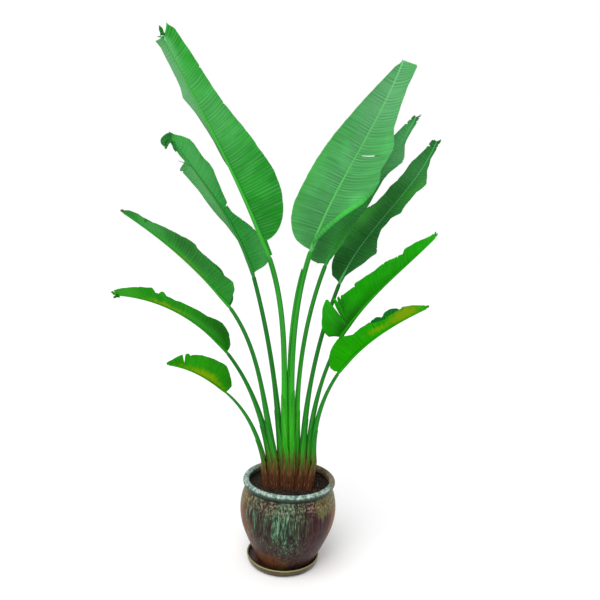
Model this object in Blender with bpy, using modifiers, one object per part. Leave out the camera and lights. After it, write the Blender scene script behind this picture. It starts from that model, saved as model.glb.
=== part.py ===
"""A travellers palm in a glazed jar, standing on a saucer: metres, +Z up, fan of leaves in the XZ plane.

The fan faces -Y. The origin is on the floor, on the jar's axis.
"""
from math import cos, pi, radians, sin, sqrt

import bmesh
import bpy
from mathutils import Matrix, Vector

GAP = 0.0003                 # between pieces that touch

# Saucer: a shallow dish, a little off the jar's axis
SAUCER_X = -0.0125
SAUCER_FOOT = 0.124          # radius of the flat underside
SAUCER_RIM = 0.1445
SAUCER_HEIGHT = 0.031
SAUCER_FLOOR = 0.012         # height of its inside floor
SAUCER_WALL = 0.006
TURN_STEPS = 36              # sides of every turned piece

# Jar: radii and heights of the outer wall, from the foot up
JAR_BOTTOM = SAUCER_FLOOR + GAP
JAR_FOOT = (0.112, JAR_BOTTOM)
JAR_WAIST = (0.130, 0.050)
JAR_LOWER = (0.161, 0.112)
JAR_FLANK = (0.183, 0.170)
JAR_BELLY = (0.190, 0.225)
JAR_SHOULDER = (0.184, 0.274)
JAR_NECK = (0.170, 0.312)
JAR_WALL = 0.011
LIP_RING = (0.1705, 0.332)   # centre of the rolled lip
LIP_ROLL = 0.012             # radius of the roll
SOIL_TOP = 0.306

# Crown: the short stem of packed sheaths that the stalks grow from
CROWN_X = -0.006
CROWN_TOP = 0.410
CROWN_HALF_TOP = 0.108
CROWN_HALF_FOOT = 0.088
CROWN_DEPTH = 0.042          # half depth, front to back

# Stalks
STALK_SIDES = 10
STALK_RINGS = 12
STALK_SWELL = 0.22           # share of the length where a stalk is widest
STALK_FOOT_DEPTH = 1.25      # half depth at the foot, over the half width there

# Blades
BLADE_ROWS = 24
HALF_STRIPS = 3
RIB_STEPS = 400              # points along the rib that the rows are read from
THICKNESS_SHARE = 0.0105     # blade thickness over its length
BUTT_GAP = 0.0006            # between a stalk's tip and its blade
BUTT_WIDTH = 0.010           # half width where a blade meets its stalk
VEIN_BEND = 1.5              # the sweep grows with this power of the way to the margin
SWEEP_START = 0.03           # share of the rib over which the sweep sets in

# Angles are in degrees and lengths in metres. A lean is from upright, to the left below zero.
# "depth" leans are away from the viewer, at the foot, at the blade's base and at its tip.
# A half blade: half width, where it starts on the rib, how long its rounded base is, where it begins to
# narrow, how (a power), the share left at the tip, its angles about the rib at base and tip (0 faces the
# viewer, 90 the inside of the fan), the forward sweep of its veins at base and tip over the half width,
# and its waves and tears as (place on the rib, half length, depth), where a depth below zero swells.
LEAVES = {
    "left_1": dict(
        foot=(-0.0110, -0.009), stalk=0.817, lean=(-7.5, -22), bow=11, depth=(-3, -3, 3),
        thick=(0.0088, 0.0115, 0.0085), blade=0.876, tip_lean=-29, blade_bow=-4, curl=-20,
        near=dict(width=0.114, start=0.070, base=0.07, full=0.42, power=0.8, tip=0.30, angle=(82, 95),
                  sweep=(-0.12, 0.50), tears=((0.965, 0.012, 0.4),)),
        far=dict(width=0.150, start=0.0, base=0.40, full=0.30, power=0.9, tip=0.38, angle=(158, 212),
                 sweep=(-0.12, 0.0), tears=((0.0, 0.25, 0.6), (0.52, 0.12, 0.35)))),
    "left_2": dict(
        foot=(-0.0333, 0.006), stalk=0.741, lean=(-6.5, -17.5), bow=1, depth=(2, 4, 8),
        thick=(0.0088, 0.0100, 0.0070), blade=0.652, tip_lean=-37, blade_bow=-10, curl=-20,
        near=dict(width=0.087, start=0.03, base=0.06, full=0.20, power=1.0, tip=0.14, angle=(62, 52),
                  sweep=(-0.05, 0.45), tears=((0.40, 0.14, 0.50), (0.78, 0.22, -0.95))),
        far=dict(width=0.150, start=0.0, base=0.15, full=0.50, power=1.1, tip=0.30, angle=(188, 208),
                 sweep=(-0.12, 0.45), tears=((0.66, 0.02, 0.45), (0.82, 0.14, 0.25)))),
    "left_3": dict(
        foot=(-0.0560, -0.006), stalk=0.649, lean=(-13.5, -39.5), bow=12.5, depth=(-3, -5, -7),
        thick=(0.0088, 0.0092, 0.0062), blade=0.524, tip_lean=-59, blade_bow=-1, curl=-25,
        near=dict(width=0.101, start=0.0, base=0.24, full=0.46, power=1.1, tip=0.12, angle=(50, 40),
                  sweep=(-0.12, 0.45), tears=((0.45, 0.012, 0.12), (0.82, 0.015, 0.30))),
        far=dict(width=0.084, start=0.0, base=0.24, full=0.46, power=1.1, tip=0.12, angle=(140, 140),
                 sweep=(-0.12, 0.45), tears=((0.62, 0.015, 0.25),))),
    "left_4": dict(
        foot=(-0.0785, 0.004), stalk=0.467, lean=(-10.5, -42.5), bow=2.5, depth=(3, 5, 6),
        thick=(0.0088, 0.0092, 0.0058), blade=0.525, tip_lean=-91.5, blade_bow=0, curl=-25,
        near=dict(width=0.089, start=0.0, base=0.16, full=0.12, power=2.0, tip=0.24, angle=(50, 50),
                  sweep=(-0.12, 0.45), tears=((0.48, 0.17, 0.34), (0.63, 0.014, 0.50), (0.16, 0.012, 0.10))),
        far=dict(width=0.064, start=0.0, base=0.16, full=0.12, power=2.0, tip=0.24, angle=(140, 140),
                 sweep=(-0.12, 0.45), tears=((0.45, 0.15, 0.30),))),
    "left_5": dict(
        foot=(-0.1020, -0.004), stalk=0.324, lean=(-16, -50), bow=5, depth=(-5, -8, -10),
        thick=(0.0068, 0.0062, 0.0036), blade=0.250, tip_lean=-84.5, blade_bow=4.5, curl=-20,
        near=dict(width=0.108, start=0.0, base=0.42, full=0.43, power=1.4, tip=0.10, angle=(62, 55),
                  sweep=(-0.12, 0.45), tears=((0.68, 0.014, 0.35),)),
        far=dict(width=0.080, start=0.0, base=0.42, full=0.43, power=1.4, tip=0.10, angle=(140, 140),
                 sweep=(-0.12, 0.45), tears=())),
    "right_1": dict(
        foot=(0.0082, -0.009), stalk=0.842, lean=(-3.5, 16), bow=-6, depth=(-3, -3, 2),
        thick=(0.0088, 0.0110, 0.0078), blade=0.751, tip_lean=17.5, blade_bow=9.5, curl=15,
        near=dict(width=0.128, start=0.0, base=0.45, full=0.42, power=0.8, tip=0.36, angle=(-60, -70),
                  sweep=(-0.12, -0.15), tears=((0.12, 0.15, 0.45), (0.80, 0.15, 0.25), (0.57, 0.008, 0.30))),
        far=dict(width=0.120, start=0.0, base=0.22, full=0.23, power=1.8, tip=0.10, angle=(86, 70),
                 sweep=(-0.12, 0.0), tears=())),
    "right_2": dict(
        foot=(0.0275, 0.007), stalk=0.792, lean=(-5.5, 19), bow=-2, depth=(2, 2, 5),
        thick=(0.0086, 0.0092, 0.0068), blade=0.663, tip_lean=24.5, blade_bow=10.5, curl=15,
        near=dict(width=0.066, start=0.0, base=0.19, full=0.68, power=0.9, tip=0.26, angle=(-20, -30),
                  sweep=(-0.12, 0.45), tears=((0.71, 0.08, -0.18), (0.82, 0.04, 0.20))),
        far=dict(width=0.063, start=0.0, base=0.06, full=0.48, power=1.7, tip=0.14, angle=(100, 100),
                 sweep=(-0.12, 0.45), tears=())),
    "right_3": dict(
        foot=(0.0480, -0.006), stalk=0.728, lean=(-3, 20.5), bow=0.5, depth=(4, 7, 6),
        thick=(0.0086, 0.0088, 0.0065), blade=0.685, tip_lean=20, blade_bow=17.5, curl=15,
        near=dict(width=0.072, start=0.0, base=0.28, full=0.45, power=2.0, tip=0.32, angle=(-35, -35),
                  sweep=(-0.12, 0.45), tears=((0.25, 0.08, -0.14), (0.46, 0.15, 0.50), (0.69, 0.09, -0.18),
                                              (0.86, 0.10, 0.50))),
        far=dict(width=0.100, start=0.0, base=0.24, full=0.17, power=1.8, tip=0.18, angle=(135, 140),
                 sweep=(-0.12, 0.45), tears=((0.80, 0.10, -0.12), (0.55, 0.05, 0.12)))),
    "right_4": dict(
        foot=(0.0705, 0.006), stalk=0.516, lean=(-3, 27), bow=-0.5, depth=(1, 2, 3),
        thick=(0.0078, 0.0080, 0.0062), blade=0.548, tip_lean=42, blade_bow=9, curl=-25,
        near=dict(width=0.138, start=0.0, base=0.14, full=0.13, power=1.0, tip=0.18, angle=(62, 45),
                  sweep=(-0.16, 0.45), tears=((0.09, 0.06, -0.25), (0.145, 0.022, 0.72), (0.205, 0.008, 0.45),
                                              (0.245, 0.008, 0.30), (0.58, 0.03, 0.25), (0.66, 0.06, -0.12))),
        far=dict(width=0.106, start=0.0, base=0.15, full=0.13, power=1.0, tip=0.20, angle=(140, 140),
                 sweep=(-0.12, 0.45), tears=((0.40, 0.01, 0.2),))),
    "right_5": dict(
        foot=(0.0910, 0.000), stalk=0.384, lean=(-7, 32.5), bow=-0.5, depth=(-1, -2, -4),
        thick=(0.0078, 0.0075, 0.0058), blade=0.430, tip_lean=61.5, blade_bow=4.5, curl=-25,
        near=dict(width=0.097, start=0.0, base=0.13, full=0.60, power=1.4, tip=0.18, angle=(60, 45),
                  sweep=(-0.25, 0.45), tears=((0.32, 0.12, 0.16), (0.53, 0.10, 0.16), (0.70, 0.012, 0.25))),
        far=dict(width=0.088, start=0.0, base=0.16, full=0.60, power=1.4, tip=0.18, angle=(140, 140),
                 sweep=(-0.12, 0.45), tears=())),
}

# Spear: the tip of a rolled leaf that stands against the first stalk on the right
SPEAR_BESIDE = "right_1"
SPEAR_REACH = 0.93           # share of that stalk's length
SPEAR_FOOT_OFFSET = (-0.0125, 0.021)
SPEAR_TOP_OFFSET = (-0.0125, 0.005)
SPEAR_HALF = 0.0042

# Colour (linear RGB), roughness and metallic value of each finish
FINISHES = {
    "glaze": ((0.075, 0.045, 0.035), 0.22, 0.0),
    "saucer_glaze": ((0.06, 0.035, 0.028), 0.25, 0.0),
    "soil": ((0.022, 0.014, 0.009), 0.95, 0.0),
    "sheath": ((0.13, 0.07, 0.03), 0.85, 0.0),
    "stalk": ((0.02, 0.22, 0.015), 0.45, 0.0),
    "blade": ((0.018, 0.24, 0.02), 0.4, 0.0),
}


def clear_scene():
    for obj in list(bpy.data.objects):
        bpy.data.objects.remove(obj, do_unlink=True)


def finish(name):
    """The named finish as a Principled material."""
    if name in bpy.data.materials:
        return bpy.data.materials[name]
    colour, roughness, metallic = FINISHES[name]
    material = bpy.data.materials.new(name)
    material.use_nodes = True
    shader = material.node_tree.nodes["Principled BSDF"]
    shader.inputs["Base Color"].default_value = (*colour, 1)
    shader.inputs["Roughness"].default_value = roughness
    shader.inputs["Metallic"].default_value = metallic
    return material


def add_part(name, mesh, finish_name, plant, location=(0, 0, 0)):
    obj = bpy.data.objects.new(name, mesh)
    obj.data.materials.append(finish(finish_name))
    obj.location = location
    plant.objects.link(obj)
    return obj


def mesh_of(bm, name):
    """The bmesh as a smooth-shaded mesh."""
    mesh = bpy.data.meshes.new(name)
    bm.to_mesh(mesh)
    bm.free()
    mesh.shade_smooth()
    return mesh


def turned(name, profile, finish_name, plant, x=0.0):
    """A piece turned about a vertical axis, from (radius, height) points that run down its outer side."""
    bm = bmesh.new()
    corners = [bm.verts.new((radius, 0, height)) for radius, height in profile]
    for upper, lower in zip(corners, corners[1:]):
        bm.edges.new((upper, lower))
    obj = add_part(name, mesh_of(bm, name), finish_name, plant, (x, 0, 0))
    screw = obj.modifiers.new("turn", "SCREW")
    screw.steps = screw.render_steps = TURN_STEPS
    screw.use_merge_vertices = True
    screw.merge_threshold = 0.00005
    return obj


def lip(steps, start, end):
    """Points round the rolled lip, from angle start to angle end, in degrees from straight out."""
    radius, height = LIP_RING
    angles = [radians(start + (end - start) * i / steps) for i in range(steps + 1)]
    return [(radius + LIP_ROLL * cos(a), height + LIP_ROLL * sin(a)) for a in angles]


def inner(point):
    """The jar's inner wall, level with a point of the outer one."""
    radius, height = point
    return radius - JAR_WALL, height


def make_saucer(plant):
    inside = SAUCER_RIM - SAUCER_WALL
    floor_edge = SAUCER_FOOT + 0.010
    turned("saucer", [
        (0, SAUCER_FLOOR), (floor_edge, SAUCER_FLOOR), (inside - 0.002, SAUCER_HEIGHT - 0.006),
        (inside, SAUCER_HEIGHT), (SAUCER_RIM, SAUCER_HEIGHT), (SAUCER_RIM - 0.002, SAUCER_HEIGHT - 0.007),
        (SAUCER_FOOT + 0.010, 0.006), (SAUCER_FOOT, 0), (0, 0)], "saucer_glaze", plant, SAUCER_X)


def jar_floor():
    return JAR_BOTTOM + JAR_WALL


def make_jar(plant):
    inside = [(0, jar_floor()), (JAR_FOOT[0] - JAR_WALL, jar_floor())]
    inside += [inner(p) for p in (JAR_WAIST, JAR_LOWER, JAR_FLANK, JAR_BELLY, JAR_SHOULDER, JAR_NECK)]
    outside = [JAR_NECK, JAR_SHOULDER, JAR_BELLY, JAR_FLANK, JAR_LOWER, JAR_WAIST, JAR_FOOT, (0, JAR_BOTTOM)]
    turned("pot", inside + lip(6, 180, -60) + outside, "glaze", plant)


def make_soil(plant):
    walls = [JAR_SHOULDER, JAR_BELLY, JAR_FLANK, JAR_LOWER, JAR_WAIST]
    shoulder, neck = inner(JAR_SHOULDER), inner(JAR_NECK)
    share = (SOIL_TOP - shoulder[1]) / (neck[1] - shoulder[1])
    rim = (shoulder[0] + share * (neck[0] - shoulder[0]) - GAP, SOIL_TOP)
    fill = [(radius - GAP, height) for radius, height in map(inner, walls)]
    foot = [(JAR_FOOT[0] - JAR_WALL - GAP, jar_floor() + GAP), (0, jar_floor() + GAP)]
    turned("soil", [(0, SOIL_TOP), rim] + fill + foot, "soil", plant)


def make_crown(plant):
    """A block that widens upwards along the fan, elliptical from above."""
    bm = bmesh.new()
    height = CROWN_TOP - SOIL_TOP - GAP
    bmesh.ops.create_cone(bm, cap_ends=True, segments=20, radius1=1, radius2=1, depth=height,
                          matrix=Matrix.Translation((0, 0, height / 2)))
    for vertex in bm.verts:
        at_top = vertex.co.z > height / 2
        vertex.co.x *= CROWN_HALF_TOP if at_top else CROWN_HALF_FOOT
        vertex.co.y *= CROWN_DEPTH
    add_part("crown", mesh_of(bm, "crown"), "sheath", plant, (CROWN_X, 0, SOIL_TOP + GAP))


def path(start, length, leans, bow, depths, count):
    """Points and directions along a limb whose lean runs from leans[0] to leans[1], bowed between them."""
    points, directions = [Vector(start)], []
    for i in range(count):
        s = i / (count - 1)
        lean = radians(leans[0] + (leans[1] - leans[0]) * s + 4 * bow * s * (1 - s))
        away = radians(depths[0] + (depths[1] - depths[0]) * s)
        directions.append(Vector((sin(lean) * cos(away), sin(away), cos(lean) * cos(away))))
        if i:
            points.append(points[-1] + (directions[-1] + directions[-2]) * (0.5 * length / (count - 1)))
    return points, directions


def stalk_path(leaf, count):
    foot_x, foot_y = leaf["foot"]
    start = (foot_x, foot_y, CROWN_TOP + GAP)
    return path(start, leaf["stalk"], leaf["lean"], leaf["bow"], leaf["depth"][:2], count)


def rib_path(leaf, count):
    points, directions = stalk_path(leaf, STALK_RINGS + 1)
    start = points[-1] + directions[-1] * BUTT_GAP
    leans = (leaf["lean"][1], leaf["tip_lean"])
    return path(start, leaf["blade"], leans, leaf["blade_bow"], leaf["depth"][1:], count)


def stalk_half(thick, s):
    """Half width of a stalk at share s of its length: widest a little above the foot."""
    foot, swell, top = thick
    if s < STALK_SWELL:
        return foot + (swell - foot) * sin(0.5 * pi * s / STALK_SWELL)
    return swell + (top - swell) * (s - STALK_SWELL) / (1 - STALK_SWELL)


def limb(name, points, directions, halves, finish_name, plant):
    """A tapering limb through the points: a cone cut into rings, each laid square to the path."""
    rings = len(points) - 1
    bm = bmesh.new()
    bmesh.ops.create_cone(bm, cap_ends=True, segments=STALK_SIDES, radius1=1, radius2=1, depth=1)
    uprights = [e for e in bm.edges if abs(e.verts[0].co.z - e.verts[1].co.z) > 0.5]
    bmesh.ops.subdivide_edges(bm, edges=uprights, cuts=rings - 1, use_grid_fill=True)
    for vertex in bm.verts:
        i = round((vertex.co.z + 0.5) * rings)
        along = directions[i]
        across = Vector((0, 1, 0)).cross(along).normalized() if i else Vector((1, 0, 0))
        deep = along.cross(across) if i else Vector((0, 1, 0))
        half_wide, half_deep = halves[i]
        vertex.co = points[i] + across * (vertex.co.x * half_wide) + deep * (vertex.co.y * half_deep)
    add_part(name, mesh_of(bm, name), finish_name, plant)


def make_stalk(name, leaf, plant):
    points, directions = stalk_path(leaf, STALK_RINGS + 1)
    halves = []
    for i in range(STALK_RINGS + 1):
        s = i / STALK_RINGS
        half = stalk_half(leaf["thick"], s)
        deeper = 1 + (STALK_FOOT_DEPTH - 1) * (1 - s) ** 3
        halves.append((half, half * deeper))
    limb("stalk_" + name, points, directions, halves, "stalk", plant)


def make_spear(plant):
    leaf = LEAVES[SPEAR_BESIDE]
    points, directions = stalk_path(leaf, STALK_RINGS + 1)
    count = round(SPEAR_REACH * STALK_RINGS) + 1
    halves = []
    for i in range(count):
        s = i / (count - 1)
        x = SPEAR_FOOT_OFFSET[0] + (SPEAR_TOP_OFFSET[0] - SPEAR_FOOT_OFFSET[0]) * s
        y = SPEAR_FOOT_OFFSET[1] + (SPEAR_TOP_OFFSET[1] - SPEAR_FOOT_OFFSET[1]) * s
        points[i] = points[i] + Vector((x, y, 0))
        halves.append((SPEAR_HALF * (1 - 0.75 * s ** 4),) * 2)
    limb("spear", points[:count], directions[:count], halves, "stalk", plant)


def half_width(half, t):
    """Half width of one side of a blade at share t of its rib."""
    u = min(max((t - half["start"]) / half["base"], 0), 1)
    k = max((t - half["full"]) / (1 - half["full"]), 0)
    width = half["width"] * sqrt(1 - (1 - u) ** 2) * (1 - (1 - half["tip"]) * k ** half["power"])
    for place, reach, deep in half["tears"]:
        if abs(t - place) < reach:
            width *= 1 - deep * cos(0.5 * pi * (t - place) / reach) ** 2
    return max(width, BUTT_WIDTH)


def blade_point(leaf, near, along, rib, t, v):
    """A point of the blade, at share t of the rib and share v of the half width, negative on the far half."""
    half = leaf["near"] if v > 0 else leaf["far"]
    side = 1 if leaf["foot"][0] > 0 else -1
    inward = near.cross(along) * side
    width, reach = half_width(half, t), abs(v)
    turn = radians(half["angle"][0] + (half["angle"][1] - half["angle"][0]) * t)
    curl = radians(leaf["curl"]) * (1 if v > 0 else -1)
    start = turn - curl / 2
    towards = (sin(start + curl * reach) - sin(start)) / curl
    inwards = (cos(start) - cos(start + curl * reach)) / curl
    sweep = (half["sweep"][0] * (1 - t) + half["sweep"][1] * t) * min(t / SWEEP_START, 1)
    forward = sweep * reach ** VEIN_BEND
    return rib + (near * towards + inward * inwards + along * forward) * width


def blade_rows(leaf):
    """Shares of the rib where the blade has a row: evenly spaced, and at each tear's edges and middle."""
    rows = {round(i / BLADE_ROWS, 4) for i in range(BLADE_ROWS + 1)}
    for half in (leaf["near"], leaf["far"]):
        for place, reach, _ in half["tears"]:
            if reach < 1 / BLADE_ROWS:
                rows = {row for row in rows if abs(row - place) > reach}
                rows |= {place - reach, place, place + reach}
    return sorted(row for row in rows if 0 <= row <= 1)


def make_blade(name, leaf, plant):
    rows, strips = blade_rows(leaf), 2 * HALF_STRIPS
    points, directions = rib_path(leaf, RIB_STEPS + 1)
    bm = bmesh.new()
    bmesh.ops.create_grid(bm, x_segments=strips, y_segments=len(rows) - 1, size=1)
    for vertex in bm.verts:
        v, t = vertex.co.x, rows[round((vertex.co.y + 1) / 2 * (len(rows) - 1))]
        i = round(t * RIB_STEPS)
        along = directions[i]
        near = (Vector((0, -1, 0)) + along * along.y).normalized()
        vertex.co = blade_point(leaf, near, along, points[i], t, v)
    obj = add_part("blade_" + name, mesh_of(bm, name), "blade", plant)
    solid = obj.modifiers.new("thickness", "SOLIDIFY")
    solid.thickness = THICKNESS_SHARE * leaf["blade"]
    solid.offset = 0


def main():
    clear_scene()
    plant = bpy.data.collections.new("potted_travellers_palm")
    bpy.context.scene.collection.children.link(plant)
    make_saucer(plant)
    make_jar(plant)
    make_soil(plant)
    make_crown(plant)
    for name, leaf in LEAVES.items():
        make_stalk(name, leaf, plant)
        make_blade(name, leaf, plant)
    make_spear(plant)


main()
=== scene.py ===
# %% [markdown]
# # A travellers palm in a glazed jar
#
# This lesson dresses a plain model of a potted plant: ten paddle leaves in a flat fan, on long stalks, in a
# brown jar with pale green runs of glaze, on a saucer. The plain solids come from a CAD part. Here each of
# them gets a finer mesh in the same place, and a finish made of shader nodes. Lengths are in metres, +Z is
# up, and the fan faces -Y.

# %% Load the solids
from math import cos, pi, radians, sin, sqrt

import bpy
import numpy as np
from mathutils import Matrix, Vector


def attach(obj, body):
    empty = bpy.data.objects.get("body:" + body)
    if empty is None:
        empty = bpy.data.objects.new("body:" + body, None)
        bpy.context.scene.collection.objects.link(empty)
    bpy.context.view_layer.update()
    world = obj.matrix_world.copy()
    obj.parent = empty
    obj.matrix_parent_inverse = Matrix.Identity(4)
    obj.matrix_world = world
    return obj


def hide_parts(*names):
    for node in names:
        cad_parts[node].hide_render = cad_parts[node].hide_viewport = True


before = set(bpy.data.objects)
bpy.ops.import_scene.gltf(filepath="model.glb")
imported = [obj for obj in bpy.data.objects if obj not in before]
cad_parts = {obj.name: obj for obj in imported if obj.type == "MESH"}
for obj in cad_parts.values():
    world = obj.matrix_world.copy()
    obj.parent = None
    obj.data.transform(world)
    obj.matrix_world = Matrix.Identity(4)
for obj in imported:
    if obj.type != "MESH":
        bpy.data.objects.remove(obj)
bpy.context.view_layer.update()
scene = bpy.context.scene

# %% [markdown]
# ## Camera
#
# The photograph was taken from about chest height and two metres away, a little tilted. A camera object looks
# down its own -Z axis, so it is first stood up by nearly a right angle, then turned about its own axis for
# the tilt. Setting its matrix keeps the two turns in that order.

# %% Camera
EYE = Vector((0.0084, -2.17, 1.29))
LOOK_DOWN = radians(6.26)
TILT = radians(2.78)
FOCAL_PIXELS = 568
PICTURE_PIXELS = 600

lens = bpy.data.cameras.new("camera")
lens.sensor_width = 36
lens.lens = lens.sensor_width * FOCAL_PIXELS / PICTURE_PIXELS
camera = bpy.data.objects.new("camera", lens)
scene.collection.objects.link(camera)
stand_up = Matrix.Rotation(pi / 2 - LOOK_DOWN, 4, "X")
camera.matrix_world = Matrix.Translation(EYE) @ stand_up @ Matrix.Rotation(TILT, 4, "Z")
scene.camera = camera
print("lens:", round(lens.lens, 1), "mm")

# %% [markdown]
# ## Studio
#
# A cut-out picture has no surroundings, so the room is white where the camera sees it. On the plant the room
# gives only a part of the light, and one wide sun from the upper left gives the rest, which shapes the leaves
# and keeps their greens deep. A sun lights the whole floor alike, so the floor stays plain as well. A large
# lamp in front puts a soft highlight on the lip of the jar.

# %% Studio light and floor
ROOM_LIGHT = 0.72
SUN_LIGHT = 1.7
LAMP_WATTS = 16
FLOOR_SIZE = 30


def hang_light(name, kind, energy, comes_from, location=(0, 0, 0)):
    light = bpy.data.lights.new(name, kind)
    light.energy = energy
    holder = bpy.data.objects.new(name, light)
    holder.location = location
    holder.rotation_euler = Vector(comes_from).to_track_quat("Z", "Y").to_euler()
    scene.collection.objects.link(holder)
    return light


sun = hang_light("wide sun", "SUN", SUN_LIGHT, (-0.35, -0.60, 0.95))
sun.angle = radians(50)
lamp = hang_light("front lamp", "AREA", LAMP_WATTS, (-0.5, -2.4, 2.3), (-0.5, -2.4, 2.6))
lamp.size = 1.2

world = bpy.data.worlds.new("white room")
scene.world = world
world.use_nodes = True
room = world.node_tree.nodes["Background"]
room.inputs["Color"].default_value = (1, 1, 1, 1)
seen = world.node_tree.nodes.new("ShaderNodeLightPath")
strength = world.node_tree.nodes.new("ShaderNodeMapRange")
strength.inputs["To Min"].default_value = ROOM_LIGHT
strength.inputs["To Max"].default_value = 1.0
world.node_tree.links.new(seen.outputs["Is Camera Ray"], strength.inputs["Value"])
world.node_tree.links.new(strength.outputs["Result"], room.inputs["Strength"])
scene.view_settings.view_transform = "Standard"


def select_only(*objects):
    bpy.ops.object.select_all(action="DESELECT")
    for obj in objects:
        obj.select_set(True)
    bpy.context.view_layer.objects.active = objects[0]


select_only(camera)
bpy.ops.mesh.primitive_plane_add(size=FLOOR_SIZE, location=(0, 0, 0))
floor = bpy.context.object
floor.name = "floor"
print("lights:", len(bpy.data.lights), "floor:", FLOOR_SIZE, "m")

# %% [markdown]
# ## Shader helpers
#
# Every finish here is a Principled shader with a small tree of nodes in front of it. These helpers keep the
# trees short: one adds a node and fills its inputs, some do sums, and two mix colours. Display colours, as a
# picture program shows them, are turned into the linear values that a shader takes.

# %% Shader helpers
SURFACE = "surface"          # UV map: across and along the piece, in metres
LIGHT = 0.88                 # tone() takes a colour at this share, because the room is bright


def paint(red, green, blue):
    """A display colour, 0 to 255, as the linear RGBA of a shader."""
    def linear(value):
        share = value / 255
        return share / 12.92 if share <= 0.04045 else ((share + 0.055) / 1.055) ** 2.4
    return linear(red), linear(green), linear(blue), 1.0


def tone(colour, share=1.0):
    """A display colour for the bright room, made lighter or darker by a share."""
    return paint(*(min(value * share * LIGHT, 255) for value in colour))


class Finish:
    """A material under construction: its node tree, and short ways to add to it."""

    def __init__(self, name, roughness, specular=0.5):
        self.material = bpy.data.materials.new(name)
        self.material.use_nodes = True
        self.tree = self.material.node_tree
        self.shader = self.tree.nodes["Principled BSDF"]
        self.shader.inputs["Roughness"].default_value = roughness
        self.shader.inputs["Specular IOR Level"].default_value = specular

    def add(self, kind, inputs=None, **settings):
        node = self.tree.nodes.new("ShaderNode" + kind)
        for key, value in settings.items():
            setattr(node, key, value)
        for key, value in (inputs or {}).items():
            self.feed(node.inputs[key], value)
        return node

    def feed(self, socket, value):
        if isinstance(value, bpy.types.NodeSocket):
            self.tree.links.new(value, socket)
        else:
            socket.default_value = value

    def maths(self, operation, first, second=0.0, third=0.0):
        return self.add("Math", {0: first, 1: second, 2: third}, operation=operation).outputs[0]

    def times(self, first, second):
        return self.maths("MULTIPLY", first, second)

    def plus(self, first, second):
        return self.maths("ADD", first, second)

    def scaled(self, value, factor, offset):
        return self.maths("MULTIPLY_ADD", value, factor, offset)

    def mix(self, share, first, second):
        """Two colours mixed. Each is a node's output, a shader's colour or a display colour."""
        first, second = (tone(c) if isinstance(c, tuple) and len(c) == 3 else c for c in (first, second))
        return self.add("Mix", {0: share, 6: first, 7: second}, data_type="RGBA").outputs[2]

    def span(self, value, low, high, to_low=0.0, to_high=1.0):
        """The value from low to high, spread smoothly over to_low to to_high."""
        node = self.add("MapRange", {0: value, 1: low, 2: high, 3: to_low, 4: to_high},
                        interpolation_type="SMOOTHSTEP")
        return node.outputs[0]

    def fade(self, value, low, high, first, second, most=1.0):
        """Two colours mixed: the first one where the value is low, and this much of the second where high."""
        return self.mix(self.span(value, low, high, 0, most), first, second)

    def noise(self, vector, scale, detail=3.0, roughness=0.55, stretch=(1, 1, 1)):
        mapped = self.add("Mapping", {"Vector": vector, "Scale": stretch}).outputs[0]
        inputs = {"Vector": mapped, "Scale": scale, "Detail": detail, "Roughness": roughness}
        return self.add("TexNoise", inputs).outputs[0]

    def place(self):
        return self.add("TexCoord").outputs["Object"]

    def height(self):
        return self.add("SeparateXYZ", {0: self.place()}).outputs[2]

    def surface(self):
        """The UV map that every bent grid has."""
        return self.add("UVMap", uv_map=SURFACE).outputs[0]

    def tagged(self, name):
        """A number stored on the mesh's vertices."""
        return self.add("Attribute", attribute_name=name).outputs["Fac"]

    def done(self, colour, height=None, bump=0.3, distance=0.001, rough=None):
        self.feed(self.shader.inputs["Base Color"], colour)
        if rough is not None:
            self.feed(self.shader.inputs["Roughness"], rough)
        if height is not None:
            node = self.add("Bump", {"Strength": bump, "Distance": distance, "Height": height})
            self.feed(self.shader.inputs["Normal"], node.outputs[0])
        return self.material


floor_finish = Finish("pale floor", 0.9, 0.1)
floor.data.materials.append(floor_finish.done(paint(250, 250, 250)))
print("floor finish:", floor_finish.material.name)

# %% [markdown]
# ## Grids that are bent into place
#
# A leaf, a stalk and a sheath are all sheets that follow a curved line. Each starts as Blender's grid
# primitive. Its columns run across the piece and its rows along it, and a rule then says where each crossing
# goes. Numpy moves all the points in one step, and the same rule stores the way across and along as a UV map
# in metres, so a pattern follows the surface.

# %% Grid helpers
def lerp(ends, share):
    return ends[0] + (ends[1] - ends[0]) * share


def corners_of(piece):
    flat = np.empty(len(piece.data.vertices) * 3, np.float32)
    piece.data.vertices.foreach_get("co", flat)
    return flat.reshape(-1, 3)


def move_corners(piece, points):
    piece.data.vertices.foreach_set("co", points.astype(np.float32).ravel())
    piece.data.update()


def new_grid(name, columns, rows):
    """A grid, with the column and row number of every vertex."""
    bpy.ops.object.select_all(action="DESELECT")
    bpy.ops.mesh.primitive_grid_add(x_subdivisions=columns, y_subdivisions=rows, size=2)
    piece = bpy.context.object
    piece.name = piece.data.name = name
    x, y, _ = corners_of(piece).T
    return piece, np.rint((x + 1) / 2 * columns).astype(int), np.rint((y + 1) / 2 * rows).astype(int)


def bend(piece, points, across, along):
    """Move the vertices to the points and store their UV map."""
    corner = np.empty(len(piece.data.loops), np.int32)
    piece.data.loops.foreach_get("vertex_index", corner)
    layer = piece.data.uv_layers[0]
    layer.name = SURFACE
    layer.data.foreach_set("uv", np.stack([across, along], 1)[corner].astype(np.float32).ravel())
    move_corners(piece, points)


def tag(piece, name, values):
    """Store one number for each vertex."""
    attribute = piece.data.attributes.new(name, "FLOAT", "POINT")
    attribute.data.foreach_set("value", values.astype(np.float32))


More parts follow.
